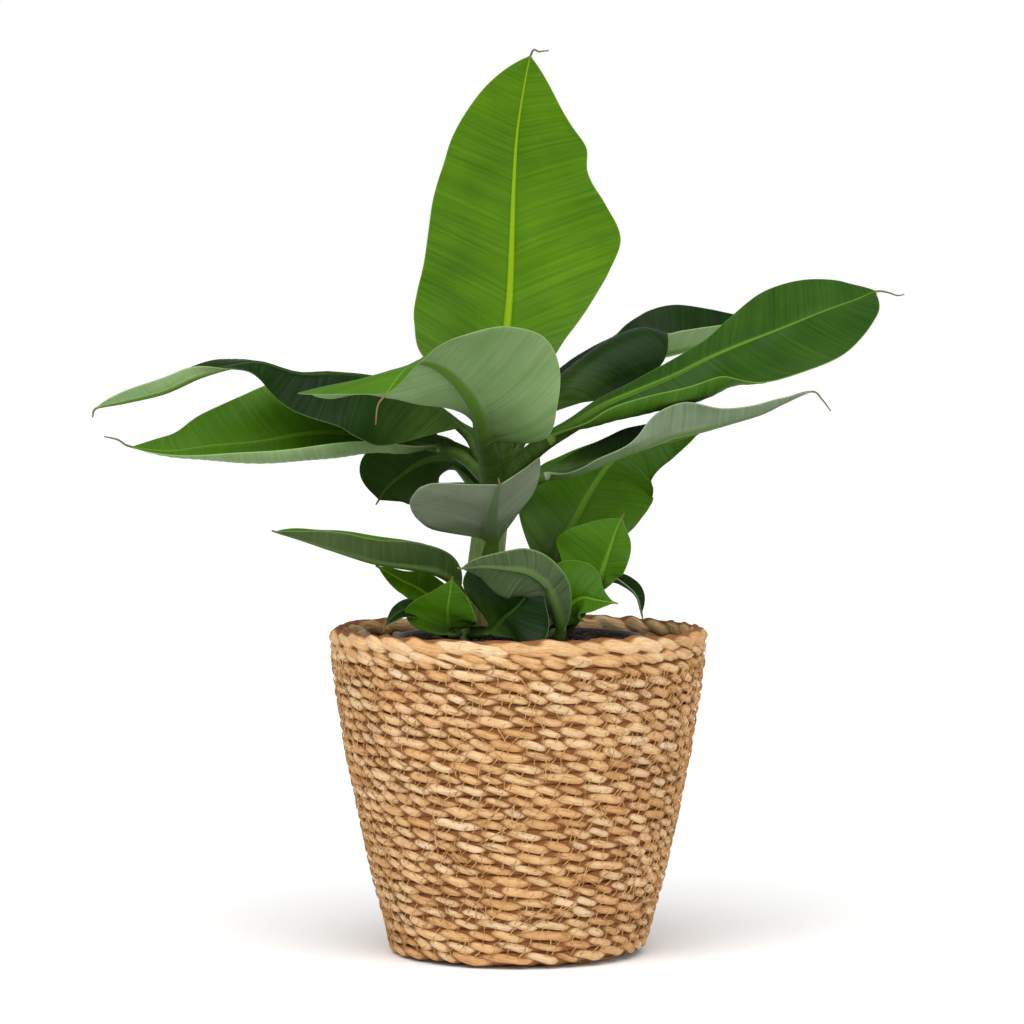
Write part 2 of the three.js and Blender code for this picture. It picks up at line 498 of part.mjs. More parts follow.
// points across one half of a leaf, from the midrib out: the point and the upward direction at each
function halfAcross(leaf, half, sign, frame, at, bladeStart, bladeEnd, across, leastWidth, grow) {
  const share = (at - bladeStart) / (bladeEnd - bladeStart);
  const onBlade = share >= 0 && share <= 1;
  const width = Math.max(onBlade ? spreadNumber(half.width, share) : 0, leastWidth) + grow;
  const fold = onBlade ? spreadNumber(half.fold, share) : 25;
  const curl = onBlade ? spreadNumber(half.curl, share) : 0;
  const sweep = onBlade ? spreadNumber(half.sweep, share) : 0;
  const [height, waves, phase] = leaf.ripple;
  const wave = onBlade ? height * Math.sin(Math.PI * share) : 0;
  const swing = Math.sin(2 * Math.PI * (waves * share + phase + (sign > 0 ? 0.37 : 0)));
  const steps = 24;
  const point = frame.middle.clone();
  const result = [];
  for (let k = 1; k <= steps; k += 1) {
    const middleAngle = THREE.MathUtils.degToRad(fold + curl * ((k - 0.5) / steps));
    point.addScaledVector(frame.side, (sign * Math.cos(middleAngle) * width) / steps);
    point.addScaledVector(frame.up, (Math.sin(middleAngle) * width) / steps);
    const out = k / steps;
    if (across.some((stop) => Math.abs(stop - out) < 0.5 / steps)) {
      const angle = THREE.MathUtils.degToRad(fold + curl * out);
      const normal = frame.up.clone().multiplyScalar(Math.cos(angle));
      normal.addScaledVector(frame.side, -sign * Math.sin(angle));
      const place = point.clone().addScaledVector(normal, wave * out ** 2 * swing);
      place.addScaledVector(frame.along, sweep * width * out ** 1.5);
      result.push({ place, normal, distance: out * width });
    }
  }
  return result;
}

// one leaf as a closed solid; grow makes every side that much bigger, for cutting clearance
function leafSolid(leaf, grow = 0) {
  const sections = leaf.small ? SECTIONS.small : SECTIONS.large;
  const { places, bladeStart, bladeEnd } = sectionPlaces(leaf, sections);
  const rings = places.map((at, row) => {
    const frame = leafFrame(leaf, at);
    const radius = linear([0, bladeStart, bladeEnd, 1], [leaf.stalkRadius, leaf.stalkRadius * 0.8, 0.5, THREAD_RADIUS], at);
    const edge = linear([0, bladeStart, bladeStart + 0.06, 1], [leaf.stalkRadius * 0.6, leaf.stalkRadius * 0.5,
      BLADE_THICKNESS, 0.5], at);
    const keel = Math.max(radius * 1.5, edge);
    const arms = [[leaf.left, -1], [leaf.right, 1]].map(([half, sign]) =>
      halfAcross(leaf, half, sign, frame, at, bladeStart, bladeEnd, sections.across, radius, grow));
    const centre = { place: frame.middle, normal: frame.up, distance: 0 };
    const line = [...arms[0].reverse(), centre, ...arms[1]];
    const thickness = (entry) => edge + (keel - edge) * Math.max(0, 1 - entry.distance / (radius * 1.2));
    const upper = line.map((entry) => entry.place.clone().addScaledVector(entry.normal, grow));
    const lower = line.map((entry) => entry.place.clone().addScaledVector(entry.normal, -thickness(entry) - grow));
    const ring = [...upper, ...lower.reverse()];
    const stretch = row === 0 ? -grow : row === places.length - 1 ? grow : 0;
    for (const point of ring) point.addScaledVector(frame.along, stretch);
    return ring;
  });
  return lofted(rings);
}

// ---------------------------------------------------------------- assembly

const plant = new THREE.Group();

function addPiece(name, solid, [colour, roughness]) {
  const material = new THREE.MeshStandardMaterial({ color: colour, roughness, metalness: 0 });
  const mesh = new THREE.Mesh(geometryOf(solid), material);
  mesh.name = name;
  plant.add(mesh);
}

// cuts the clearance of every earlier piece that reaches this one
function clearOf(solid, cutters) {
  let result = solid;
  for (const cutter of cutters) {
    if (result.intersect(cutter).volume() > 0) result = largestPart(result.subtract(cutter));
  }
  return result;
}

addPiece("basket_base", basketBase(), COLOURS.straw);
addPiece("basket_wall", basketWall(), COLOURS.straw);
addPiece("basket_rim", basketRim(), COLOURS.straw);
addPiece("basket_lining", basketLining(), COLOURS.film);
addPiece("nursery_pot", nurseryPot(), COLOURS.pot);

const cutters = [];
for (const stem of STEMS) {
  addPiece(stem.name, clearOf(stemSolid(stem), cutters), COLOURS.stem);
  cutters.push(stemSolid(stem, GAP));
}
for (const leaf of LEAVES) {
  addPiece(leaf.name, clearOf(leafSolid(leaf), cutters), COLOURS.leaf);
  cutters.push(leafSolid(leaf, GAP));
}
addPiece("soil", clearOf(soilPlug(), cutters), COLOURS.soil);

export default plant;
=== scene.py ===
"""A young dwarf banana plant in a nursery pot, standing inside a coiled seagrass basket.

Tables and lengths are in millimetres, in the frame of the CAD model: +Z up, -Y the front, and the
origin at the centre of the basket's underside. mesh_piece() turns them into metres.
"""

import math

import bpy
import numpy as np
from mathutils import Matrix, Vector


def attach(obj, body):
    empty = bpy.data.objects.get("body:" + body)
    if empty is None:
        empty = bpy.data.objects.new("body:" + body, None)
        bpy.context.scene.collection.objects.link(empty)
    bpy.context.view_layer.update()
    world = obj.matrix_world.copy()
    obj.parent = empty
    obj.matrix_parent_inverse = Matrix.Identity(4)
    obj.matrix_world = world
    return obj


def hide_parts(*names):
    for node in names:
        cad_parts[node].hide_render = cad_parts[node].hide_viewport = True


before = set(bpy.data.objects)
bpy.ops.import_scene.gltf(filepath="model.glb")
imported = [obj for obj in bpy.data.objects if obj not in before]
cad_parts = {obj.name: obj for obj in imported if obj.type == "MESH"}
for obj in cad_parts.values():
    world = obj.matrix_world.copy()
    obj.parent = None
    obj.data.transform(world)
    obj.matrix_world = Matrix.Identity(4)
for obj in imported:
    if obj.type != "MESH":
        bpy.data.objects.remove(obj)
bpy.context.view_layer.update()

MM = 0.001

# ---------------------------------------------------------------- driving dimensions, as in the CAD

WALL_THICKNESS = 6
BASE_THICKNESS = 6.5
RIM_MIDDLE_RADIUS = 89.25
RIM_MIDDLE_HEIGHT = 156
WALL_TOP = 152

# outside of the basket wall from the floor up: radius, height
WALL_OUTLINE = [
    (60.2, 0), (63, 3.5), (66.2, 17.6), (72.3, 40), (78.6, 69), (84.5, 98.5), (89.2, 128), (92.4, 152),
]

POT_FLOOR = 7.6
POT_BASE_RADIUS = 46
POT_RIM_RADIUS = 62
POT_TOP = 155.5
POT_WALL = 1.2
SOIL_EDGE = 154.5
SOIL_CROWN = 156.5

BLADE_THICKNESS = 0.8
THREAD_RADIUS = 0.3

# ---------------------------------------------------------------- leaves
#
# stalk, blade and thread are points along the midrib, from the stem to the tip.
# face lists the direction that the upper surface looks in, spread evenly from stem to tip.
# left and right are the halves as seen looking from stem to tip with the upper surface up.
# width, fold, curl and sweep are spread evenly along the blade: width is the half's width,
# fold the angle at which it leaves the midrib (up is positive), curl how much that angle turns
# by the margin, and sweep how far the margin leans to the tip, as a share of the width.
# ripple is the height, the number and the phase of the waves along the margin.
# upper and under name the looks of the two faces, and radius is that of the stalk at the stem.

LEAVES = [
    {
        "name": "leaf_upright", "upper": "bright", "under": "fresh", "radius": 4.5,
        "stalk": [[-10, 2, 228], [-7, 5, 254]],
        "blade": [[-6, 10, 271], [-6, 16, 298], [-4, 20, 325], [-3, 22, 352], [-2, 22, 379], [0, 18, 406],
                  [6, 8, 439]],
        "thread": [[10.5, 6, 441], [15, 5, 441.5]],
        "face": [[0, -1, 0.3], [0, -1, 0.1], [0, -1, 0], [0, -1, 0], [0.1, -1, 0.1]],
        "left": {"width": [3, 40, 47, 46.5, 44, 42, 40, 36, 31, 20, 0],
                 "fold": [25, 14, 12, 10, 8], "curl": [0], "sweep": [0]},
        "right": {"width": [3, 22, 31, 40, 49, 54, 46, 36.5, 34, 18, 0],
                  "fold": [25, 14, 12, 10, 8], "curl": [0, -10, -20, -10, 0], "sweep": [0]},
        "ripple": [0.8, 3, 0.1],
    },
    {
        "name": "leaf_front", "upper": "mid", "under": "pale", "radius": 5,
        "stalk": [[-11, -3, 226], [-13, -10, 243]],
        "blade": [[-16, -18, 254], [-19, -28, 266], [-26, -42, 277], [-36, -58, 287], [-46, -72, 291],
                  [-54, -84, 286], [-62, -92, 275]],
        "thread": [[-65.5, -95, 270], [-66.5, -97, 261]],
        "face": [[0.4, 0.75, 0.5], [0.4, 0.75, 0.5], [0.4, 0.8, 0.5], [0.05, 0.9, 0.45], [-0.1, 0.8, 0.6],
                 [0, 0.3, 0.9], [-0.1, -0.6, 0.8], [0, -0.9, 0.5], [0, -0.9, 0.4]],
        "left": {"width": [5, 31, 39, 46, 47, 39, 29, 19, 9, 5, 0],
                 "fold": [0, 0, 0, 0, 0, 5, 20, 20, 10],
                 "curl": [0], "sweep": [-0.3, -0.2, -0.1, 0, 0, 0, 0]},
        "right": {"width": [2, 6, 12, 17, 24, 30, 36, 44, 48, 46, 0],
                  "fold": [0, 0, 0, 0, -2, -9, -9, -6],
                  "curl": [0], "sweep": [0, 0, 0, 0.1, 0.25, 0.35, 0.5]},
        "ripple": [0.6, 3, 0.3],
    },
    {
        "name": "leaf_left_upper", "upper": "dark", "under": "pale", "radius": 4.5,
        "stalk": [[-12, 3, 230], [-18, 8, 249]],
        "blade": [[-26, 8, 259], [-43, -2, 272], [-65, -12, 282], [-86, -22, 285], [-105, -30, 285],
                  [-123, -36, 290], [-136, -40, 289], [-152, -44, 284], [-169, -47, 276],
                  [-188, -50, 271], [-201, -52, 268]],
        "thread": [[-203, -52, 263.5]],
        "face": [[0, -0.3, 1], [0, -0.2, 1], [0, 0, 1], [0, 0, 1], [0, 0, 1], [-0.1, 0, 1], [-0.2, 0, 1]],
        "left": {"width": [2, 20, 34, 37, 30, 21, 13, 7, 6, 6.5, 7, 5, 0],
                 "fold": [-50, -60, -62, -62, -62, -62, -50, -10, 50, 60, 60, 50],
                 "curl": [0, -10, -10, 0, 0, 10, 20, 10, 0, 0], "sweep": [0]},
        "right": {"width": [2, 14, 22, 26, 27, 25, 20, 14, 9, 8, 8, 5, 0],
                  "fold": [0, 0, 0, 0, 0, 5, 15, 35, 50, 50, 50], "curl": [-10], "sweep": [0]},
        "ripple": [0.8, 4, 0.2],
    },
    {
        "name": "leaf_left_lower", "upper": "mid", "under": "pale", "radius": 4.5,
        "stalk": [[-13, 0, 234], [-24, 10, 244]],
        "blade": [[-38, 12, 250], [-58, 8, 253], [-80, 2, 255], [-102, -6, 255], [-126, -14, 251],
                  [-150, -22, 249], [-168, -28, 247], [-186, -33, 249]],
        "thread": [[-192.5, -35, 252.5], [-199, -36, 254]],
        "face": [[0, 0, 1], [0, -0.1, 1], [0, -0.2, 1], [0, -0.2, 1], [0, -0.2, 1]],
        "left": {"width": [2, 18, 26, 32, 34, 33, 29, 20, 11, 6, 0],
                 "fold": [-50, -65, -70, -70, -70, -60, -30],
                 "curl": [80, 120, 140, 140, 140, 110, 40], "sweep": [0]},
        "right": {"width": [2, 20, 30, 34, 33, 30, 26, 19, 11, 7, 0],
                  "fold": [30, 35, 40, 42, 42, 40, 30], "curl": [10], "sweep": [0]},
        "ripple": [1, 3, 0.5],
    },
    {
        "name": "leaf_left_back", "upper": "deep", "under": "grey", "radius": 4.5,
        "stalk": [[-15, 4, 226], [-22, 14, 234]],
        "blade": [[-29, 20, 240], [-38, 26, 242], [-49, 28, 239], [-58, 28, 233], [-65, 27, 227],
                  [-69, 25, 221]],
        "thread": [[-70.5, 24, 218.5]],
        "face": [[0, -0.6, 0.8], [0, -0.9, 0.5], [-0.1, -1, 0.2], [-0.1, -1, 0.2], [-0.1, -1, 0.2]],
        "left": {"width": [2, 10, 15, 18, 19, 19, 18, 16, 13, 8, 0],
                 "fold": [5], "curl": [0], "sweep": [0]},
        "right": {"width": [2, 8, 11, 13, 15, 17, 19, 20, 18, 11, 0],
                  "fold": [5], "curl": [0], "sweep": [0]},
        "ripple": [0.6, 2, 0.1],
    },
    {
        "name": "leaf_centre", "upper": "dark", "under": "lilac", "radius": 3.5,
        "stalk": [[-15, -12, 183], [-14, -16, 196]],
        "blade": [[-13, -20, 205], [-13, -30, 214], [-12, -44, 223], [-10, -56, 230], [-9, -62, 232]],
        "thread": [[-9.5, -64, 235]],
        "face": [[0, 0.7, 0.7], [0, 0.6, 0.8], [0, 0.5, 0.9], [0, 0.4, 0.9]],
        "left": {"width": [5, 16, 25, 29, 31, 30, 26, 17, 0],
                 "fold": [30, 38, 42, 42, 35], "curl": [0], "sweep": [0]},
        "right": {"width": [5, 26, 35, 39, 40, 39, 36, 26, 0],
                  "fold": [5, 5, 5, 5, 5], "curl": [-15], "sweep": [0]},
        "ripple": [0.8, 2, 0.1],
    },
    {
        "name": "leaf_right_back", "upper": "dark", "under": "pale", "radius": 4.5,
        "stalk": [[-8, 6, 240], [-2, 12, 251]],
        "blade": [[5, 18, 262], [16, 26, 275], [31, 34, 286], [46, 42, 292], [60, 50, 294], [74, 58, 294],
                  [92, 68, 298], [110, 78, 301], [129, 88, 301], [145, 94, 294]],
        "thread": [[151, 96, 288.5]],
        "face": [[0, -0.3, 1], [0, -0.3, 1], [0, -0.2, 1], [0, -0.1, 1], [0.1, 0, 1], [0.2, 0, 1]],
        "left": {"width": [2, 6, 8, 10, 14, 24, 26, 24, 18, 10, 0],
                 "fold": [20, 20, 20, 30, 40, 50, 45, 40, 30], "curl": [0], "sweep": [0]},
        "right": {"width": [2, 28, 44, 52, 50, 18, 13, 12, 11, 7, 0],
                  "fold": [10, 60, 75, 80, 85, 70, 55, 50, 45, 40, 30],
                  "curl": [0, -120, -185, -185, -170, -60, 0, 0, 0, 0, 0], "sweep": [0]},
        "ripple": [0.6, 3, 0.4],
    },
    {
        "name": "leaf_right_upper", "upper": "leafy", "under": "fresh", "radius": 5,
        "stalk": [[-8, -2, 234], [2, -6, 244]],
        "blade": [[14, -10, 254], [28, -14, 262], [42, -16, 270], [59, -18, 277], [76, -19, 284],
                  [92, -19, 292], [106, -19, 298], [127, -18, 306], [147, -16, 314], [164, -13, 320],
                  [174, -10, 324]],
        "thread": [[180, -9, 323.5], [184.5, -8, 322], [188, -8, 322.5]],
        "face": [[0, -0.3, 1], [0, -0.3, 1], [-0.1, -0.4, 1], [-0.2, -0.5, 1], [-0.3, -0.5, 1]],
        "left": {"width": [2, 5, 8, 9, 12, 15, 22, 32, 30, 18, 0],
                 "fold": [10, 10, 10, 10, 10], "curl": [0], "sweep": [0]},
        "right": {"width": [2, 14, 28, 38, 44, 47, 48, 45, 38, 22, 0],
                  "fold": [-30, -50, -58, -60, -58, -50, -35, -22, -12, -5, 0],
                  "curl": [60, 100, 130, 140, 135, 115, 65, 35, 10, 0, 0], "sweep": [0]},
        "ripple": [0.7, 3, 0.2],
    },
    {
        "name": "leaf_right_lower", "upper": "dark", "under": "grey", "radius": 4.5,
        "stalk": [[-9, -8, 227], [1, -14, 232]],
        "blade": [[13, -18, 237], [25, -20, 238], [37, -23, 242], [49, -27, 247], [61, -30, 251],
                  [73, -33, 255], [87, -37, 258], [102, -41, 262], [116, -45, 266], [127, -48, 271],
                  [140, -50, 276]],
        "thread": [[145, -51, 272], [149, -52, 266.5]],
        "face": [[0, -0.3, 1], [0, -0.2, 1], [0, -0.1, 1], [-0.1, 0, 1], [-0.2, 0, 1]],
        "left": {"width": [2, 10, 14, 16, 16, 16, 15, 12, 8, 5, 0],
                 "fold": [20, 30, 30, 28, 25, 25, 22, 20, 20, 20, 20], "curl": [0], "sweep": [0]},
        "right": {"width": [2, 12, 17, 19, 19, 19, 18, 13, 9, 5, 0],
                  "fold": [0, 4, 4, 6, 16, 40, 50, 32, 26, 22, 10], "curl": [0], "sweep": [0]},
        "ripple": [0.5, 3, 0.2],
    },
    {
        "name": "leaf_right_broad", "upper": "mid", "under": "fresh", "radius": 4,
        "stalk": [[14, -5, 160], [15, -4, 176]],
        "blade": [[18, -2, 194], [29, 4, 214], [37, 10, 228], [47, 14, 241], [60, 16, 248], [75, 14, 250],
                  [88, 10, 254]],
        "thread": [[90.5, 9, 257]],
        "face": [[0, -1, 0.3], [0, -1, 0.3], [0, -1, 0.4], [0, -1, 0.6], [0.1, -1, 0.8]],
        "left": {"width": [12, 27, 31, 28, 21, 13, 8, 4, 3, 3, 0],
                 "fold": [10], "curl": [0], "sweep": [-0.1]},
        "right": {"width": [4, 20, 28, 30, 30, 29, 28, 24, 14, 7, 0],
                  "fold": [10], "curl": [0], "sweep": [0]},
        "ripple": [0.8, 3, 0.1],
    },
    {
        "name": "leaf_right_low", "upper": "mid", "under": "grey", "radius": 3,
        "stalk": [[16, -8, 158], [23, -15, 161]],
        "blade": [[38, -20, 180], [41, -21, 189], [44, -22, 198], [47, -22, 207], [50, -22, 214]],
        "thread": [[51.5, -22, 216.5]],
        "face": [[-0.2, -1, 0.2], [-0.2, -1, 0.2], [-0.2, -1, 0.3]],
        "left": {"width": [3, 14, 22, 26, 25, 21, 14, 7, 0],
                 "fold": [5], "curl": [0], "sweep": [0]},
        "right": {"width": [3, 7, 10, 11, 11, 10, 8, 4, 0],
                  "fold": [5], "curl": [0], "sweep": [0]},
        "ripple": [0.5, 2, 0.1],
    },
    {
        "name": "leaf_hanging_tip", "upper": "dark", "under": "grey", "radius": 2,
        "stalk": [[15, -3, 160], [22, -4, 168]],
        "blade": [[38, -10, 181], [46, -14, 184], [53, -18, 181], [58, -21, 176], [60, -22, 168]],
        "thread": [[60.5, -22, 165]],
        "face": [[0, -0.3, 1], [0.2, -0.3, 1], [0.8, -0.4, 0.6], [1, -0.4, 0]],
        "left": {"width": [2, 5, 7, 7, 6, 4, 0],
                 "fold": [20], "curl": [0], "sweep": [0]},
        "right": {"width": [2, 5, 7, 7, 6, 4, 0],
                  "fold": [20], "curl": [0], "sweep": [0]},
        "ripple": [0.3, 2, 0.1],
    },
    {
        "name": "leaf_front_twisted", "upper": "mid", "under": "moss", "radius": 3,
        "stalk": [[19, -31, 156], [20, -35, 157]],
        "blade": [[21, -38, 162], [18, -44, 174], [13, -50, 184], [5, -55, 190], [-5, -58, 192],
                  [-16, -60, 193], [-27, -60, 192]],
        "thread": [[-29, -60, 192.5]],
        "face": [[0.4, 0.9, 0], [0.4, 0.9, 0.2], [0.3, 0.8, 0.5], [0.1, 0.6, 0.8], [0, 0.5, 0.9],
                 [0, 0.4, 0.9]],
        "left": {"width": [2, 6, 9, 11, 12, 13, 13, 11, 8, 5, 0],
                 "fold": [0, 10, 20, 20], "curl": [0], "sweep": [0]},
        "right": {"width": [2, 6, 10, 13, 16, 17, 18, 16, 12, 7, 0],
                  "fold": [0, -10, -20, -20, 0], "curl": [0], "sweep": [0]},
        "ripple": [0.4, 2, 0.1],
    },
    {
        "name": "leaf_front_bright", "upper": "mid", "under": "fresh", "radius": 2.5,
        "stalk": [[15, -10, 157], [17, -15, 159]],
        "blade": [[20, -20, 163], [25, -24, 172], [31, -28, 176], [38, -32, 175], [46, -36, 174]],
        "thread": [[48, -37, 173.5]],
        "face": [[0, -1, 0.3], [0, -1, 0.3], [0.1, -1, 0.5], [0.2, -1, 0.6]],
        "left": {"width": [2, 12, 18, 20, 18, 13, 8, 3, 0],
                 "fold": [10], "curl": [0], "sweep": [0]},
        "right": {"width": [2, 8, 11, 12, 12, 10, 8, 4, 0],
                  "fold": [10], "curl": [0], "sweep": [0]},
        "ripple": [0.5, 2, 0.1],
    },
    {
        "name": "leaf_long_left", "upper": "mid", "under": "fern", "radius": 2.5,
        "stalk": [[-26, -16, 160], [-26, -18, 168]],
        "blade": [[-29, -22, 181], [-38, -26, 188], [-51, -30, 191], [-69, -36, 194], [-88, -42, 200],
                  [-103, -46, 205], [-116, -50, 209]],
        "thread": [[-117.5, -50, 209.5]],
        "face": [[0, -0.2, 1], [0, -0.1, 1], [0, 0, 1], [0, 0, 1]],
        "left": {"width": [2, 10, 14, 15, 15, 14, 12, 9, 5, 0],
                 "fold": [40, 55, 55, 50, 45, 40, 30], "curl": [0], "sweep": [0]},
        "right": {"width": [2, 10, 14, 16, 17, 16, 14, 10, 6, 0],
                  "fold": [30, 40, 45, 45, 40, 40, 30], "curl": [0], "sweep": [0]},
        "ripple": [0.6, 3, 0.1],
    },
    {
        "name": "leaf_small_bright", "upper": "bright", "under": "fresh", "radius": 2.2,
        "stalk": [[-29, -14, 158], [-31, -11, 162]],
        "blade": [[-35, -9, 170], [-42, -10, 175], [-50, -12, 180], [-58, -14, 184], [-68, -16, 190]],
        "thread": [[-69, -16, 190]],
        "face": [[0, -1, 0.4], [-0.2, -1, 0.6], [-0.2, -1, 0.6]],
        "left": {"width": [2, 8, 10, 10, 9, 7, 4, 0],
                 "fold": [15], "curl": [0], "sweep": [0]},
        "right": {"width": [2, 8, 9, 9, 7, 5, 3, 0],
                  "fold": [15], "curl": [0], "sweep": [0]},
        "ripple": [0.5, 2, 0.1],
    },
    {
        "name": "leaf_small_dark", "upper": "dark", "under": "grey", "radius": 2,
        "stalk": [[-31, -20, 158], [-38, -24, 160]],
        "blade": [[-45, -26, 169], [-51, -29, 171], [-58, -32, 169], [-64, -35, 163]],
        "thread": [[-65, -36, 160]],
        "face": [[0, -0.8, 0.8], [-0.2, -0.9, 0.7], [-0.5, -0.9, 0.3]],
        "left": {"width": [2, 5, 7, 7, 5, 3, 0],
                 "fold": [10], "curl": [0], "sweep": [0]},
        "right": {"width": [2, 4, 5, 5, 4, 2, 0],
                  "fold": [10], "curl": [0], "sweep": [0]},
        "ripple": [0.3, 2, 0.1],
    },
    {
        "name": "leaf_low_green", "upper": "mid", "under": "fresh", "radius": 2.5,
        "stalk": [[-30, -21, 159], [-31, -26, 159.5]],
        "blade": [[-33, -30, 160], [-34, -34, 166], [-34, -37, 171], [-33, -39, 178], [-32, -40, 185]],
        "thread": [[-31.5, -40, 187]],
        "face": [[-0.2, -1, 0.3], [-0.2, -1, 0.3], [-0.2, -1, 0.3]],
        "left": {"width": [5, 16, 20, 20, 16, 10, 5, 0],
                 "fold": [10], "curl": [0], "sweep": [0]},
        "right": {"width": [3, 12, 16, 16, 14, 11, 6, 0],
                  "fold": [10], "curl": [0], "sweep": [0]},
        "ripple": [0.5, 2, 0.1],
    },
    {
        "name": "leaf_low_dark", "upper": "dark", "under": "grey", "radius": 2.5,
        "stalk": [[-24, -22, 159], [-18, -31, 160]],
        "blade": [[-13, -37, 161], [-7, -41, 167], [-1, -43, 172], [5, -44, 179], [10, -44, 185]],
        "thread": [[12, -44, 187.5]],
        "face": [[0, -1, 0.3], [0, -1, 0.3], [0, -1, 0.3]],
        "left": {"width": [4, 22, 29, 27, 22, 16, 8, 0],
                 "fold": [10], "curl": [0], "sweep": [0]},
        "right": {"width": [3, 9, 19, 23, 20, 14, 7, 0],
                  "fold": [10], "curl": [0], "sweep": [0]},
        "ripple": [0.5, 2, 0.1],
    },
]

# main stem and suckers: middle points and radii, from inside the soil up
STEMS = [
    {"name": "pseudostem", "sheaths": 4,
     "points": [[-17, 0, 150], [-18, 0, 158], [-16, 0, 190], [-12, 1, 222], [-10, 1, 236]],
     "radii": [11, 10.5, 9, 8, 5.5]},
    {"name": "sucker_stem_right", "sheaths": 2,
     "points": [[14, -5, 150], [14, -6, 158], [15, -6, 166]],
     "radii": [5.5, 5, 3.5]},
    {"name": "sucker_stem_left", "sheaths": 2,
     "points": [[-27, -17, 150], [-28, -18, 158], [-28, -18, 165]],
     "radii": [5.5, 5, 3.5]},
    {"name": "sucker_stem_front", "sheaths": 2,
     "points": [[18, -29, 150], [18, -30, 156], [19, -31, 161]],
     "radii": [4.5, 4, 3]},
]

# ---------------------------------------------------------------- small mathematics


def spread(values, at):
    """Catmull-Rom reading of numbers or vectors that are spread evenly over 0..1."""
    table = np.asarray(values, float)
    if len(table) == 1:
        return np.repeat(table, len(at), axis=0)
    place = np.clip(at, 0, 1) * (len(table) - 1)
    low = np.minimum(place.astype(int), len(table) - 2)
    f = (place - low).reshape(-1, *[1] * (table.ndim - 1))
    padded = np.concatenate([[2 * table[0] - table[1]], table, [2 * table[-1] - table[-2]]])
    a, b, c, d = (padded[low + k] for k in range(4))
    return 0.5 * (2 * b + (c - a) * f + (2 * a - 5 * b + 4 * c - d) * f**2 + (3 * b - a - 3 * c + d) * f**3)


def unit(vectors):
    return vectors / np.maximum(np.linalg.norm(vectors, axis=-1, keepdims=True), 1e-9)


def waves(u, v, size, seed):
    """A smooth irregular field of about -1..1 whose humps are about that size across."""
    rng = np.random.default_rng(seed)
    total = np.zeros(np.broadcast(u, v).shape)
    count = 8
    for _ in range(count):
        angle = rng.uniform(0, 2 * math.pi)
        rate = math.pi / (size * rng.uniform(0.7, 1.6))
        phase = rng.uniform(0, 2 * math.pi)
        total += np.sin(rate * (u * math.cos(angle) + v * math.sin(angle)) + phase)
    return total / math.sqrt(count)


def wall_radius(height):
    """Outside radius of the basket wall at a height."""
    return np.interp(height, [z for _, z in WALL_OUTLINE], [r for r, _ in WALL_OUTLINE])


def around(radius, angle, height):
    """Points at a radius, an angle and a height, in millimetres."""
    return np.stack(np.broadcast_arrays(radius * np.cos(angle), radius * np.sin(angle), height), axis=-1)


# ---------------------------------------------------------------- meshes


def grid_faces(rows, columns, start=0):
    """Quads over rows of points, each row joined into a ring."""
    row = np.arange(rows - 1)[:, None]
    column = np.arange(columns)[None, :]
    beside = (column + 1) % columns
    corners = [row * columns + column, row * columns + beside, (row + 1) * columns + beside,
               (row + 1) * columns + column]
    return start + np.stack(corners, axis=-1).reshape(-1, 4)


def skin(grid, start=0):
    """Points and faces of a tube over a (rows, columns, 3) grid, with a cap on each end."""
    rows, columns = grid.shape[:2]
    faces = grid_faces(rows, columns, start=start).tolist()
    faces.append(list(range(start + columns - 1, start - 1, -1)))
    faces.append(list(range(start + (rows - 1) * columns, start + rows * columns)))
    return grid.reshape(-1, 3), faces


def mesh_piece(name, points, faces, materials, replaced=(), values=None, face_materials=None):
    """A new piece of the object from points in millimetres. values are numbers or vectors at its points."""
    mesh = bpy.data.meshes.new(name)
    mesh.from_pydata((np.asarray(points) * MM).tolist(), [], faces)
    for material in materials:
        mesh.materials.append(material)
    for key, numbers in (values or {}).items():
        numbers = np.asarray(numbers, np.float32)
        kind, field = ("FLOAT_VECTOR", "vector") if numbers.ndim == 2 else ("FLOAT", "value")
        mesh.attributes.new(key, kind, "POINT").data.foreach_set(field, numbers.ravel())
    mesh.polygons.foreach_set("use_smooth", [True] * len(mesh.polygons))
    if face_materials is not None:
        mesh.polygons.foreach_set("material_index", face_materials)
    mesh.update()
    piece = bpy.data.objects.new(name, mesh)
    bpy.context.scene.collection.objects.link(piece)
    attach(piece, "root")
    if replaced:
        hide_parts(*replaced)
    return piece


def tubes(paths, radii, sides, reference):
    """Closed tubes along (tubes, points, 3) paths, with radii at their points.

    reference is a direction for each tube that its path never runs along.
    """
    along = unit(np.gradient(paths, axis=1))
    across = unit(np.cross(along, reference[:, None, :]))
    up = np.cross(across, along)
    turn = 2 * math.pi * np.arange(sides) / sides
    spokes = np.cos(turn)[:, None] * across[:, :, None, :] + np.sin(turn)[:, None] * up[:, :, None, :]
    rings = paths[:, :, None, :] + radii[..., None, None] * spokes
    faces = []
    size = rings.shape[1] * sides
    for k, ring in enumerate(rings):
        faces += skin(ring, k * size)[1]
    return rings.reshape(-1, 3), faces


# ---------------------------------------------------------------- shader nodes


def linear(red, green, blue):
    """A colour stated as 0..255 sRGB, as the linear colour that shaders use."""
    def channel(value):
        value /= 255
        return value / 12.92 if value <= 0.04045 else ((value + 0.055) / 1.055) ** 2.4
    return (channel(red), channel(green), channel(blue), 1)


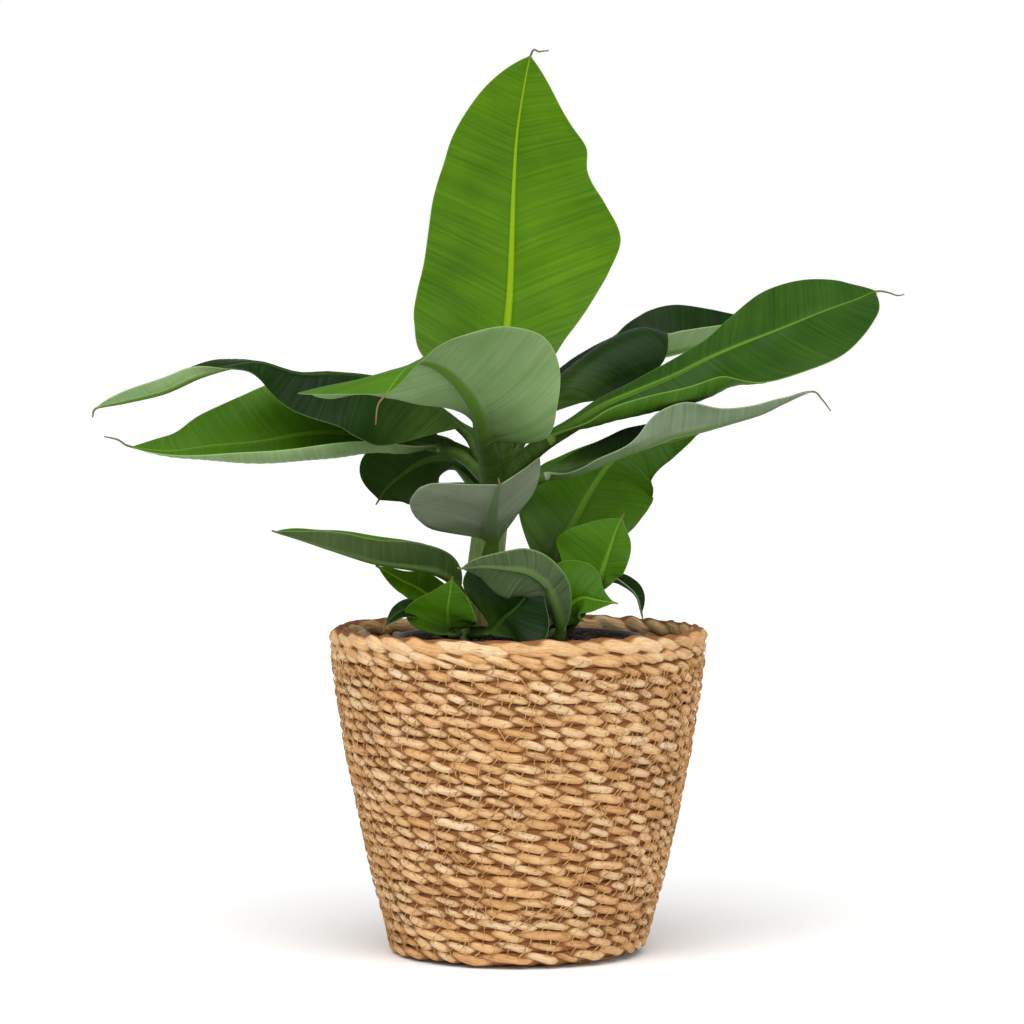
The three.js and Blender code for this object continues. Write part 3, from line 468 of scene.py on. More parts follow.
class Shader:
    """A material with one Principled shader, and short calls for the nodes in front of it."""

    def __init__(self, name, **inputs):
        self.material = bpy.data.materials.new(name)
        self.material.use_nodes = True
        self.tree = self.material.node_tree
        self.surface = next(n for n in self.tree.nodes if n.type == "BSDF_PRINCIPLED")
        for key, value in inputs.items():
            self.surface.inputs[key.replace("_", " ")].default_value = value

    def put(self, socket, value):
        if hasattr(value, "is_output"):
            self.tree.links.new(value, socket)
        else:
            socket.default_value = value

    def set(self, name, value):
        self.put(self.surface.inputs[name], value)

    def value(self, name):
        """A number kept at the points of the mesh."""
        node = self.tree.nodes.new("ShaderNodeAttribute")
        node.attribute_name = name
        return node.outputs["Fac"]

    def vector(self, name, scale):
        """A vector kept at the points of the mesh, stretched."""
        node = self.tree.nodes.new("ShaderNodeAttribute")
        node.attribute_name = name
        return self.stretched(node.outputs["Vector"], scale)

    def place(self, scale):
        """The place on the object, stretched; scale 1 is one unit to the metre."""
        node = self.tree.nodes.new("ShaderNodeTexCoord")
        return self.stretched(node.outputs["Object"], scale)

    def stretched(self, vector, scale):
        node = self.tree.nodes.new("ShaderNodeMapping")
        self.put(node.inputs["Vector"], vector)
        node.inputs["Scale"].default_value = scale
        return node.outputs["Vector"]

    def noise(self, vector, detail=2.0, rough=0.5):
        node = self.tree.nodes.new("ShaderNodeTexNoise")
        self.put(node.inputs["Vector"], vector)
        node.inputs["Scale"].default_value = 1
        node.inputs["Detail"].default_value = detail
        node.inputs["Roughness"].default_value = rough
        return node.outputs["Fac"]

    def sum(self, *terms):
        """The weighted sum of (value, weight) pairs."""
        total = 0.0
        for value, weight in terms:
            node = self.tree.nodes.new("ShaderNodeMath")
            node.operation = "MULTIPLY_ADD"
            self.put(node.inputs[0], value)
            node.inputs[1].default_value = weight
            self.put(node.inputs[2], total)
            total = node.outputs[0]
        return total

    def between(self, value, low, high, to_low=0.0, to_high=1.0):
        """value moved smoothly from low..high to to_low..to_high."""
        node = self.tree.nodes.new("ShaderNodeMapRange")
        node.interpolation_type = "SMOOTHSTEP"
        self.put(node.inputs["Value"], value)
        node.inputs["From Min"].default_value = low
        node.inputs["From Max"].default_value = high
        node.inputs["To Min"].default_value = to_low
        node.inputs["To Max"].default_value = to_high
        return node.outputs["Result"]

    def ramp(self, value, stops):
        node = self.tree.nodes.new("ShaderNodeValToRGB")
        self.put(node.inputs["Fac"], value)
        elements = node.color_ramp.elements
        while len(elements) < len(stops):
            elements.new(0.5)
        for element, (place, colour) in zip(elements, stops):
            element.position = place
            element.color = colour
        return node.outputs["Color"]

    def mix(self, share, first, second):
        node = self.tree.nodes.new("ShaderNodeMix")
        node.data_type = "RGBA"
        self.put(node.inputs["Factor"], share)
        self.put(node.inputs[6], first)
        self.put(node.inputs[7], second)
        return node.outputs[2]

    def bump(self, height, distance, strength=1.0):
        node = self.tree.nodes.new("ShaderNodeBump")
        self.put(node.inputs["Height"], height)
        node.inputs["Distance"].default_value = distance * MM
        node.inputs["Strength"].default_value = strength
        self.set("Normal", node.outputs["Normal"])


# ---------------------------------------------------------------- materials of the plant

# each look: the blade's dark and light green, the midrib, the thin line along the margin, and roughness
# the upper looks are one leaf green at several brightnesses, set leaf by leaf, so besides the leaves' own colour
# they carry painted light and shade: "bright" is painted light shining through the leaf, and "deep" and "dark"
# are painted shade for leaves in shadow
UPPER_LOOKS = {
    "bright": [(52, 92, 1), (84, 126, 3), (124, 158, 12), (104, 142, 22), 0.5],
    "leafy": [(26, 58, 5), (50, 86, 10), (78, 116, 20), (96, 130, 40), 0.38],
    "mid": [(48, 88, 8), (74, 116, 16), (92, 132, 30), (98, 132, 46), 0.42],
    "deep": [(28, 48, 12), (44, 70, 16), (62, 92, 24), (86, 118, 50), 0.4],
    "dark": [(8, 28, 2), (24, 52, 4), (40, 70, 16), (84, 114, 56), 0.36],
}
UNDER_LOOKS = {
    "fresh": [(52, 90, 16), (78, 118, 34), (96, 132, 44), (112, 144, 60), 0.5],
    "pale": [(98, 130, 70), (130, 154, 108), (76, 108, 36), (148, 172, 112), 0.48],
    "grey": [(92, 112, 78), (130, 146, 120), (88, 112, 62), (146, 162, 128), 0.44],
    "lilac": [(104, 118, 92), (136, 146, 124), (92, 112, 74), (140, 152, 124), 0.46],
    "ash": [(108, 130, 92), (150, 166, 138), (96, 122, 70), (160, 176, 140), 0.42],
    "fern": [(50, 72, 30), (78, 98, 56), (70, 96, 40), (100, 122, 74), 0.44],
    "moss": [(52, 74, 36), (106, 126, 88), (84, 110, 56), (116, 136, 92), 0.4],
}


STALK_RAMP = [(0.25, linear(38, 58, 16)), (0.8, linear(72, 100, 34))]


def leaf_material(name, look, rib_reach):
    """One face of a leaf: side veins, mottling, a lighter midrib and a pale margin, browning at the tip."""
    dark, light, rib, margin, roughness = look
    shader = Shader(name, Specular_IOR_Level=0.1)
    fine = shader.noise(shader.vector("veins", (0.6, 0.015, 0)), detail=3, rough=0.65)
    broad = shader.noise(shader.vector("veins", (0.24, 0.012, 0)), detail=1)
    patches = shader.noise(shader.place((26, 26, 26)), detail=3)
    tone = shader.sum((fine, 0.7), (broad, 0.3), (patches, 0.75), (1.0, -0.37))
    blade = shader.ramp(tone, [(0.25, linear(*dark)), (0.8, linear(*light))])
    ribbed = shader.mix(shader.between(shader.value("rib"), rib_reach, rib_reach / 2), blade, linear(*rib))
    stalked = shader.mix(shader.value("stalk"), ribbed, shader.ramp(tone, STALK_RAMP))
    edged = shader.mix(shader.between(shader.value("edge"), 0.5, 0.2, 0.0, 0.6), stalked, linear(*margin))
    dried = shader.mix(shader.between(shader.value("tip"), 0.985, 1.01), edged, linear(104, 92, 62))
    shader.set("Base Color", dried)
    shader.set("Roughness", shader.sum((patches, 0.22), (roughness - 0.11, 1.0)))
    shader.bump(shader.sum((fine, 0.8), (broad, 0.7)), 0.45, 0.7)
    return shader.material


def stem_material():
    """Wrapped leaf sheaths: green above, paler and streaked with brown towards the soil."""
    shader = Shader("stem_sheath", Specular_IOR_Level=0.4)
    streaks = shader.noise(shader.place((700, 700, 28)), detail=3)
    patches = shader.noise(shader.place((60, 60, 40)), detail=2)
    green = shader.ramp(shader.sum((streaks, 0.6), (patches, 0.6), (1.0, -0.1)),
                        [(0.3, linear(66, 92, 34)), (0.75, linear(112, 134, 66))])
    brown = shader.ramp(streaks, [(0.3, linear(92, 62, 36)), (0.7, linear(150, 118, 74))])
    dryness = shader.sum((shader.value("dry"), 1.0), (patches, 0.9), (1.0, -0.55))
    shader.set("Base Color", shader.mix(shader.between(dryness, 0.35, 0.8), green, brown))
    shader.set("Roughness", shader.sum((patches, 0.3), (1.0, 0.32)))
    shader.bump(streaks, 0.3, 0.6)
    return shader.material


# ---------------------------------------------------------------- materials of the basket and the pot


def straw_material():
    """Dry twisted grass: each lobe has its own tone, and fibres run along the strand. Painted shade darkens the
    creases, the valleys between the strands and the brown core.
    """
    shader = Shader("seagrass_rope", Specular_IOR_Level=0.25)
    fibres = shader.noise(shader.vector("strand", (0.12, 1.5, 1)), detail=4, rough=0.7)
    creases = shader.noise(shader.vector("strand", (0.07, 0.8, 1)), detail=3, rough=0.6)
    blotches = shader.noise(shader.place((110, 110, 110)), detail=2)
    tone = shader.sum((shader.value("tone"), 0.7), (fibres, 0.95), (blotches, 0.5), (1.0, -0.56))
    straw = shader.ramp(tone, [
        (0.0, linear(150, 94, 50)), (0.22, linear(200, 142, 86)), (0.45, linear(224, 172, 114)),
        (0.7, linear(238, 196, 142)), (1.0, linear(250, 222, 184))])
    # painted shade: the colour turns brown where the crease noise is low, in the same hollows that the bump
    # sinks
    crease_shaded = shader.mix(shader.between(creases, 0.40, 0.30, 0.0, 0.7), straw, linear(150, 98, 56))
    # painted shade: brown where the strand turns in towards the valleys between strands, and all over the core
    shade_core = shader.mix(shader.between(shader.value("crevice_shade"), 0.66, 0.36), crease_shaded, linear(150, 96, 52))
    shader.set("Base Color", shade_core)
    shader.set("Roughness", shader.sum((fibres, 0.2), (1.0, 0.6)))
    shader.bump(shader.sum((fibres, 1.0), (creases, 1.0)), 1.4, 1.0)
    return shader.material


def twine_material():
    shader = Shader("twine", Specular_IOR_Level=0.2, Roughness=0.85)
    speckle = shader.noise(shader.place((420, 420, 420)), detail=2)
    colours = [(0.3, linear(150, 106, 58)), (0.7, linear(214, 170, 112))]
    shader.set("Base Color", shader.ramp(speckle, colours))
    shader.bump(speckle, 0.12, 0.6)
    return shader.material


def film_material():
    """Thin clouded plastic film."""
    shader = Shader("clouded_film", Specular_IOR_Level=0.5, Alpha=0.42)
    clouds = shader.noise(shader.place((60, 60, 60)), detail=3)
    colours = [(0.3, linear(206, 184, 154)), (0.7, linear(242, 234, 220))]
    shader.set("Base Color", shader.ramp(clouds, colours))
    shader.set("Roughness", shader.sum((clouds, 0.25), (1.0, 0.15)))
    shader.bump(shader.noise(shader.place((260, 260, 260)), detail=3), 0.5, 0.8)
    return shader.material


def pot_material():
    shader = Shader("pot_plastic", Specular_IOR_Level=0.45)
    scuffs = shader.noise(shader.place((180, 180, 60)), detail=4)
    shader.set("Base Color", shader.ramp(scuffs, [(0.35, linear(34, 32, 30)), (0.75, linear(58, 54, 50))]))
    shader.set("Roughness", shader.sum((scuffs, 0.3), (1.0, 0.28)))
    shader.bump(scuffs, 0.15, 0.5)
    return shader.material


def soil_material():
    """Moist dark crumbs of peat and bark."""
    shader = Shader("potting_soil", Specular_IOR_Level=0.3)
    grains = shader.noise(shader.place((520, 520, 520)), detail=4, rough=0.7)
    lumps = shader.noise(shader.place((140, 140, 140)), detail=3)
    tone = shader.sum((grains, 0.6), (lumps, 0.5), (shader.value("tone"), 0.6), (1.0, -0.3))
    shader.set("Base Color", shader.ramp(tone, [
        (0.3, linear(24, 17, 13)), (0.6, linear(58, 42, 32)), (0.95, linear(112, 84, 58))]))
    shader.set("Roughness", shader.sum((grains, 0.25), (1.0, 0.68)))
    shader.bump(shader.sum((grains, 1.0), (lumps, 1.0)), 0.8, 0.9)
    return shader.material


# ---------------------------------------------------------------- basket rope

ROPE_STEP = 1.5            # length of rope between rings
LOBE_TONES = 997           # how many lobes of a strand have tones of their own
WALL_COURSES = 27
COURSE_PITCH = (WALL_TOP - 3.4) / WALL_COURSES
WALL_TWIST = 26            # length of rope in one full turn of its two strands
RIM_TWIST = 35
FIRST_COURSE = 2.8         # height of the rope's centre where the wall starts
COURSE_LENGTH = 480        # about the length of one turn of the wall's rope
LEVEL_RUN = 0.8            # share of a turn that runs level under the rim
SHADE_CORE_STEP = 4              # the smooth brown core, painted shade seen through the gaps, has a ring at every fourth ring of the strands
SHADE_CORE_SIDES = 8
STITCH_SPACING = 6.2
LOOSE_ENDS = 520
STRAY_FIBRES = 900


def laid(centre, outward, upward, out, rise):
    """Rings of points round a line, from their distances outward and upward."""
    return centre[:, None, :] + out[..., None] * outward[:, None, :] + rise[..., None] * upward[:, None, :]


def rope(centre, outward, upward, length, turn, size, seed, bias, sides=10):
    """The two twisted strands of a rope along its centre line, and between them a brown core that is painted
    shade for the gaps.

    size gives each strand's offset from the centre and its half thickness, outward and upward.
    """
    offset_out, offset_up, half_out, half_up = size
    along = np.asarray(length)
    slip = 0.9 * waves(along, 0 * along, turn * 1.3, seed)
    slip = slip + 0.35 * waves(along, 0 * along, turn * 0.5, seed + 1)
    grids = []
    values = {"strand": [], "tone": [], "crevice_shade": []}
    for ply in range(2):
        phase = -2 * math.pi * along / turn + math.pi * ply + slip
        lobe = np.floor(phase / (2 * math.pi) + 0.5).astype(int)
        rng = np.random.default_rng(seed + 7 + ply)
        tone = rng.uniform(0.25, 0.85, LOBE_TONES)[lobe % LOBE_TONES]
        swell = rng.uniform(0.78, 1.14, LOBE_TONES)[lobe % LOBE_TONES]
        blend = np.ones(7) / 7
        swell = np.convolve(np.pad(swell, 3, mode="edge"), blend, mode="valid")
        theta = 2 * math.pi * np.arange(sides) / sides
        crease = 1 + 0.11 * waves(along[:, None] / 7, theta[None, :] * 1.9 + 9 * ply, 1.0, seed + 3)
        full = crease * swell[:, None]
        out = offset_out * np.cos(phase)[:, None] + half_out * full * np.cos(theta)[None, :]
        rise = offset_up * np.sin(phase)[:, None] + half_up * full * np.sin(theta)[None, :]
        grids.append(laid(centre, outward, upward, out, rise))
        run = np.broadcast_to(along[:, None], out.shape)
        girth = np.broadcast_to(theta[None, :] * half_up, out.shape)
        girth = np.abs(girth - math.pi * half_up)
        apart = np.full(out.shape, 5.0 * ply + seed % 17)
        values["strand"].append(np.stack([run, girth, apart], axis=-1).reshape(-1, 3))
        values["tone"].append(np.broadcast_to((tone + bias)[:, None], out.shape).ravel())
        # low where the strand's surface turns in towards the valleys between strands; the material paints these
        # places brown as shade
        values["crevice_shade"].append((np.abs(out) / (offset_out + half_out)).ravel())
    # the core: a tube painted brown all over, standing in for the shade seen through the gaps between the
    # strands
    shade_core = np.append(np.arange(0, len(along) - 1, SHADE_CORE_STEP), len(along) - 1)
    run = np.repeat(along[shade_core][:, None], SHADE_CORE_SIDES, axis=1)
    theta = 2 * math.pi * np.arange(SHADE_CORE_SIDES) / SHADE_CORE_SIDES
    out = (offset_out + 0.1 * half_out) * np.cos(theta)[None, :] + 0 * run
    rise = (offset_up + 0.75 * half_up) * np.sin(theta)[None, :] + 0 * run
    grids.append(laid(centre[shade_core], outward[shade_core], upward[shade_core], out, rise))
    values["strand"].append(np.stack([run, rise, 0 * out], axis=-1).reshape(-1, 3))
    values["tone"].append(np.full(out.size, 0.2))
    values["crevice_shade"].append(np.full(out.size, 0.3))
    points = []
    faces = []
    for grid in grids:
        more_points, more_faces = skin(grid, sum(len(p) for p in points))
        points.append(more_points)
        faces += more_faces
    return np.concatenate(points), faces, {key: np.concatenate(rows) for key, rows in values.items()}


def wall_line():
    """The centre of the wall's one long rope, a little uneven, with its directions and length.

    It starts at the back and ends running level under the rim.
    """
    courses = WALL_COURSES + LEVEL_RUN
    turned = np.linspace(0, 2 * math.pi * courses, int(courses * COURSE_LENGTH / ROPE_STEP))
    height = np.minimum(FIRST_COURSE + COURSE_PITCH * turned / (2 * math.pi), WALL_TOP - 1.4)
    angle = turned + math.pi / 2
    base = wall_radius(height) - WALL_THICKNESS / 2
    sway = waves(turned * 80, height * 3, 45, 5)
    lift = 0.3 * waves(turned * 80, height * 3, 30, 6)
    centre = around(base + 0.3 * sway, angle, height + lift)
    outward = around(np.ones_like(angle), angle, 0 * angle)
    slope = ((wall_radius(height + 1) - wall_radius(height - 1)) / 2)[:, None]
    upward = unit(np.concatenate([outward[:, :2] * slope, np.ones((len(angle), 1))], axis=1))
    outward = unit(outward - upward * np.sum(outward * upward, axis=1, keepdims=True))
    step = np.linalg.norm(np.diff(centre, axis=0), axis=1)
    return centre, outward, upward, np.concatenate([[0], np.cumsum(step)])


def basket_wall(straw):
    """The wall's rope, as a lower, a middle and an upper piece that meet end to end."""
    centre, outward, upward, length = wall_line()
    bias = 0.12 - 0.42 * np.clip(1 - (centre[:, 2] - 2) / 5, 0, 1)
    ends = np.linspace(0, len(centre) - 1, 4).astype(int)
    for name, start, end in zip(("lower", "middle", "upper"), ends[:-1], ends[1:]):
        part = slice(start, end + 1)
        points, faces, values = rope(centre[part], outward[part], upward[part], length[part], WALL_TWIST,
                                     (1.35, 1.25, 1.85, 2.2), 11, bias[part])
        mesh_piece("basket_wall_" + name, points, faces, [straw], ["basket_wall"], values)


def basket_rim(straw):
    """The thicker rope along the top edge."""
    angle = np.linspace(0, 2 * math.pi, 420)
    sway = waves(np.cos(angle) * 90, np.sin(angle) * 90, 60, 31)
    centre = around(RIM_MIDDLE_RADIUS - 0.6 + 0.35 * sway, angle, RIM_MIDDLE_HEIGHT - 0.6 + 0.25 * sway)
    outward = around(np.ones_like(angle), angle, 0 * angle)
    upward = np.zeros_like(outward)
    upward[:, 2] = 1
    turns = round(2 * math.pi * RIM_MIDDLE_RADIUS / RIM_TWIST)
    length = angle / (2 * math.pi) * turns * RIM_TWIST
    points, faces, values = rope(centre, outward, upward, length, RIM_TWIST, (1.3, 1.2, 2.8, 3.3), 41,
                                   0.06 + 0 * angle, sides=16)
    mesh_piece("basket_rim_rope", points, faces, [straw], ["basket_rim"], values)


def basket_base(straw):
    """The floor of the basket, one rope coiled flat from the middle out."""
    turns = 9.5
    angle = np.linspace(0, 2 * math.pi * turns, 2000)
    radius = 3 + COURSE_PITCH * angle / (2 * math.pi)
    centre = around(radius, angle, 3.3 + 0 * angle)
    inward = around(-np.ones_like(angle), angle, 0 * angle)
    down = np.zeros_like(inward)
    down[:, 2] = -1
    step = np.linalg.norm(np.diff(centre, axis=0), axis=1)
    length = np.concatenate([[0], np.cumsum(step)])
    points, faces, values = rope(centre, down, inward, length, WALL_TWIST, (1.2, 0.95, 1.9, 2.25), 53,
                                   -0.1 + 0 * angle)
    mesh_piece("basket_base_coil", points, faces, [straw], ["basket_base"], values)


def basket_stitches(twine):
    """Thin twine that ties each course to the next, and loose ends that cross two courses."""
    rng = np.random.default_rng(61)
    paths = []
    radii = []
    references = []
    spots = []
    for course in range(WALL_COURSES - 1):
        height = FIRST_COURSE + COURSE_PITCH * (course + 0.5)
        count = int(2 * math.pi * wall_radius(height) / STITCH_SPACING)
        for k in range(count):
            angle = 2 * math.pi * (k + rng.uniform(-0.35, 0.35)) / count
            spots.append((height, angle, 2.6, rng.uniform(0.4, 2.6)))
    for _ in range(LOOSE_ENDS):
        height = rng.uniform(8, 146)
        angle = rng.uniform(0, 2 * math.pi)
        spots.append((height, angle, rng.uniform(3.5, 6.5), rng.uniform(-9, 9)))
    share = np.linspace(-1, 1, 7)
    for height, angle, reach, slant in spots:
        shift = COURSE_PITCH * ((angle - math.pi / 2) % (2 * math.pi)) / (2 * math.pi)
        middle = height + shift - (COURSE_PITCH if height + shift > 146 else 0)
        heights = middle + share * reach
        radius = wall_radius(heights) + 0.25 - 1.5 * np.abs(share) ** 4 + rng.uniform(-0.15, 0.35)
        angles = angle + slant * share / radius + 0.4 * np.sin(3 * share + angle * 40) / radius
        paths.append(around(radius, angles, heights))
        references.append([math.cos(angle), math.sin(angle), 0])
        radii.append(np.full(len(share), rng.uniform(0.17, 0.28)))
    points, faces = tubes(np.array(paths), np.array(radii), 4, np.array(references))
    mesh_piece("basket_stitches", points, faces, [twine])


def basket_fibres(twine):
    """Stray dry fibres that stand a little off the wall and the rim."""
    rng = np.random.default_rng(71)
    paths = []
    references = []
    share = np.linspace(0, 1, 5)
    for _ in range(STRAY_FIBRES):
        height = rng.uniform(4, 158)
        angle = rng.uniform(0, 2 * math.pi)
        tilt = rng.uniform(-1.2, 1.2)
        reach = rng.uniform(3, 9)
        lift = rng.uniform(0.1, 1.6)
        heights = np.clip(height + reach * share * math.sin(tilt), 2, 160)
        radius = wall_radius(np.minimum(heights, WALL_TOP)) - 0.2 + lift * share**1.5
        bend = rng.uniform(-4, 4)
        angles = angle + (reach * share * math.cos(tilt) + 0.6 * share**2 * bend) / radius
        paths.append(around(radius, angles, heights))
        references.append([math.cos(angle), math.sin(angle), 0])
    radii = np.full((len(paths), len(share)), 0.1) * np.linspace(1.2, 0.5, len(share))
    points, faces = tubes(np.array(paths), radii, 3, np.array(references))
    mesh_piece("basket_fibres", points, faces, [twine])


# ---------------------------------------------------------------- lining, pot and soil


def revolved(profile, segments, shape=None):
    """A closed skin of revolution over (radius, height) points; shape moves the (rows, columns) grid."""
    angle = 2 * math.pi * np.arange(segments) / segments
    radius = np.array([r for r, _ in profile])[:, None] + 0 * angle[None, :]
    height = np.array([z for _, z in profile])[:, None] + 0 * angle[None, :]
    if shape:
        radius, height = shape(radius, height, angle[None, :])
    return skin(around(radius, angle[None, :], height))


def basket_lining(film):
    """Loose clouded film between the pot and the wall, with a crumpled top edge."""
    heights = [12, 30, 60, 90, 115, 130, 138, 144, 148, 151]
    inner = [(wall_radius(z) - WALL_THICKNESS - 1.2, z) for z in heights]
    outer = [(r + 0.35, z) for r, z in inner]
    floor = BASE_THICKNESS + 0.5
    profile = [(0.5, floor), (50, floor), *outer, *reversed(inner), (50, floor + 0.35), (0.5, floor + 0.35)]

    def crumple(radius, height, angle):
        around_length = angle * 85
        looseness = np.clip((height - 100) / 54, 0, 1) ** 1.5
        folds = waves(np.cos(angle) * 90 + height * 0.3, np.sin(angle) * 90, 9, 83)
        edge = waves(np.cos(angle) * 90, np.sin(angle) * 90, 26, 85) + 0.3 * np.sin(around_length / 3)
        return (radius - looseness * (2.2 + 1.6 * folds), height + looseness * 3.2 * edge)

    points, faces = revolved(profile, 220, crumple)
    mesh_piece("lining_film_bag", points, faces, [film], ["basket_lining"])


def nursery_pot(plastic):
    body = POT_RIM_RADIUS - 2.5
    lip_bottom = POT_TOP - 6
    profile = [
        (0.5, POT_FLOOR), (POT_BASE_RADIUS - 1.5, POT_FLOOR), (POT_BASE_RADIUS, POT_FLOOR + 1.5),
        (body, lip_bottom - 0.3), (POT_RIM_RADIUS - 0.4, lip_bottom), (POT_RIM_RADIUS, lip_bottom + 0.5),
        (POT_RIM_RADIUS, POT_TOP - 0.7), (POT_RIM_RADIUS - 0.7, POT_TOP), (body - POT_WALL + 0.5, POT_TOP),
        (body - POT_WALL, POT_TOP - 0.5), (POT_BASE_RADIUS - POT_WALL, POT_FLOOR + POT_WALL),
        (0.5, POT_FLOOR + POT_WALL),
    ]

    def soften(radius, height, angle):
        return radius + 0.35 * np.sin(3 * angle + 1) * (height / POT_TOP) ** 2, height

    points, faces = revolved(profile, 128, soften)
    piece = mesh_piece("nursery_pot_shell", points, faces, [plastic], ["nursery_pot"])
    sharp = piece.modifiers.new("lip_edges", "EDGE_SPLIT")
    sharp.split_angle = math.radians(40)


CRUMBS = 900


def soil(dark_soil):
    """Lumpy potting soil with loose crumbs on it."""
    edge = POT_RIM_RADIUS - 2.5 - POT_WALL - 0.8
    bottom = POT_FLOOR + POT_WALL + 0.5
    rings = 42
    radii = np.concatenate([[0.3, POT_BASE_RADIUS - POT_WALL - 1], edge * np.linspace(1, 0.01, rings)])
    angle = 2 * math.pi * np.arange(150) / 150
    grid_radius = radii[:, None] + 0 * angle[None, :]
    x = grid_radius * np.cos(angle)
    y = grid_radius * np.sin(angle)
    crown = SOIL_EDGE - 1.2 + (SOIL_CROWN - SOIL_EDGE) * (1 - (grid_radius / edge) ** 2)
    lumps = 0.8 * waves(x, y, 7, 91) + 0.45 * waves(x, y, 2.6, 92)
    height = crown + lumps
    height[:2] = bottom
    points, faces = skin(np.stack([x, y, height], axis=-1))
    mesh_piece("potting_soil_bed", points, faces, [dark_soil], ["soil"],
               {"tone": 0.3 + 0.2 * waves(points[:, 0], points[:, 1], 4, 93)})

    rng = np.random.default_rng(95)
    sides = 6
    crumbs = []
    crumb_faces = []
    tones = []
    for _ in range(CRUMBS):
        spot = edge * math.sqrt(rng.uniform(0, 0.96))
        turn = rng.uniform(0, 2 * math.pi)
        size = rng.uniform(0.5, 1.9)
        stretch = rng.uniform(0.6, 1.9) * size
        top = SOIL_EDGE - 1.2 + (SOIL_CROWN - SOIL_EDGE) * (1 - (spot / edge) ** 2)
        corner = 2 * math.pi * np.arange(sides) / sides
        levels = []
        for level, girth in ((-0.7, 0.5), (-0.1, 1.0), (0.5, 0.75), (0.8, 0.3)):
            reach = girth * rng.uniform(0.7, 1.25, sides)
            local = np.stack([stretch * reach * np.cos(corner), size * reach * np.sin(corner)])
            lie = rng.uniform(0, 0.4) + turn * 3
            x = spot * math.cos(turn) + local[0] * math.cos(lie) - local[1] * math.sin(lie)
            y = spot * math.sin(turn) + local[0] * math.sin(lie) + local[1] * math.cos(lie)
            levels.append(np.stack([x, y, np.full(sides, top + 0.5 + level * size * 0.8)], axis=-1))
        more_points, more_faces = skin(np.array(levels), len(crumbs) * 4 * sides)
        crumbs.append(more_points)
        crumb_faces += more_faces
        tones.append(np.full(4 * sides, rng.uniform(0, 1) ** 3))
    mesh_piece("soil_crumbs", np.concatenate(crumbs), crumb_faces, [dark_soil], (),
               {"tone": np.concatenate(tones)})


# ---------------------------------------------------------------- plant


def stem(entry, material):
    """A stem of leaf sheaths that wrap round each other, each ending in a step."""
    rows = 70
    columns = 64
    at = np.linspace(0, 1, rows)
    middle = spread(entry["points"], at)
    radius = spread(entry["radii"], at)[:, None]
    angle = 2 * math.pi * np.arange(columns)[None, :] / columns
    step = np.zeros((rows, columns))
    sheaths = entry["sheaths"]
    for k in range(sheaths):
        seam = 2.4 * k + 0.9 * np.sin(3 * at + k)[:, None] + 1.4
        turn = (angle - seam) % (2 * math.pi)
        step += np.exp(-turn / 1.1) / sheaths
    ribs = 0.03 * np.sin(angle * 11 + 2 * np.sin(4 * at)[:, None])
    full = radius * (0.93 + 0.28 * step + ribs)
    grid = middle[:, None, :] + around(full, angle, 0 * full)
    points, faces = skin(grid)
    height = (points[:, 2] - points[:, 2].min()) / np.ptp(points[:, 2])
    patches = np.clip(waves(points[:, 0] * 3, points[:, 2] * 0.4, 14, 97), 0, 1)
    dry = np.clip(0.75 - 1.5 * height, 0, 1) * 0.8 + 0.25 * patches
    mesh_piece(entry["name"] + "_sheaths", points, faces, [material], [entry["name"]], {"dry": dry})


def leaf_rows(leaf):
    """The midrib's points, where the leaf's cross sections lie along it, and where the blade starts and ends."""
    rib = np.array(leaf["stalk"] + leaf["blade"] + leaf["thread"], float)
    spans = len(rib) - 1
    start = len(leaf["stalk"]) / spans
    end = (len(leaf["stalk"]) + len(leaf["blade"]) - 1) / spans
    blade_length = np.linalg.norm(np.diff(leaf["blade"], axis=0), axis=1).sum()
    stalk_rows = np.linspace(0, start, 16, endpoint=False)
    blade_rows = np.linspace(start, end, max(int(blade_length / 1.3), 24), endpoint=False)
    thread_rows = np.linspace(end, 1, 10)
    return rib, np.concatenate([stalk_rows, blade_rows, thread_rows]), start, end


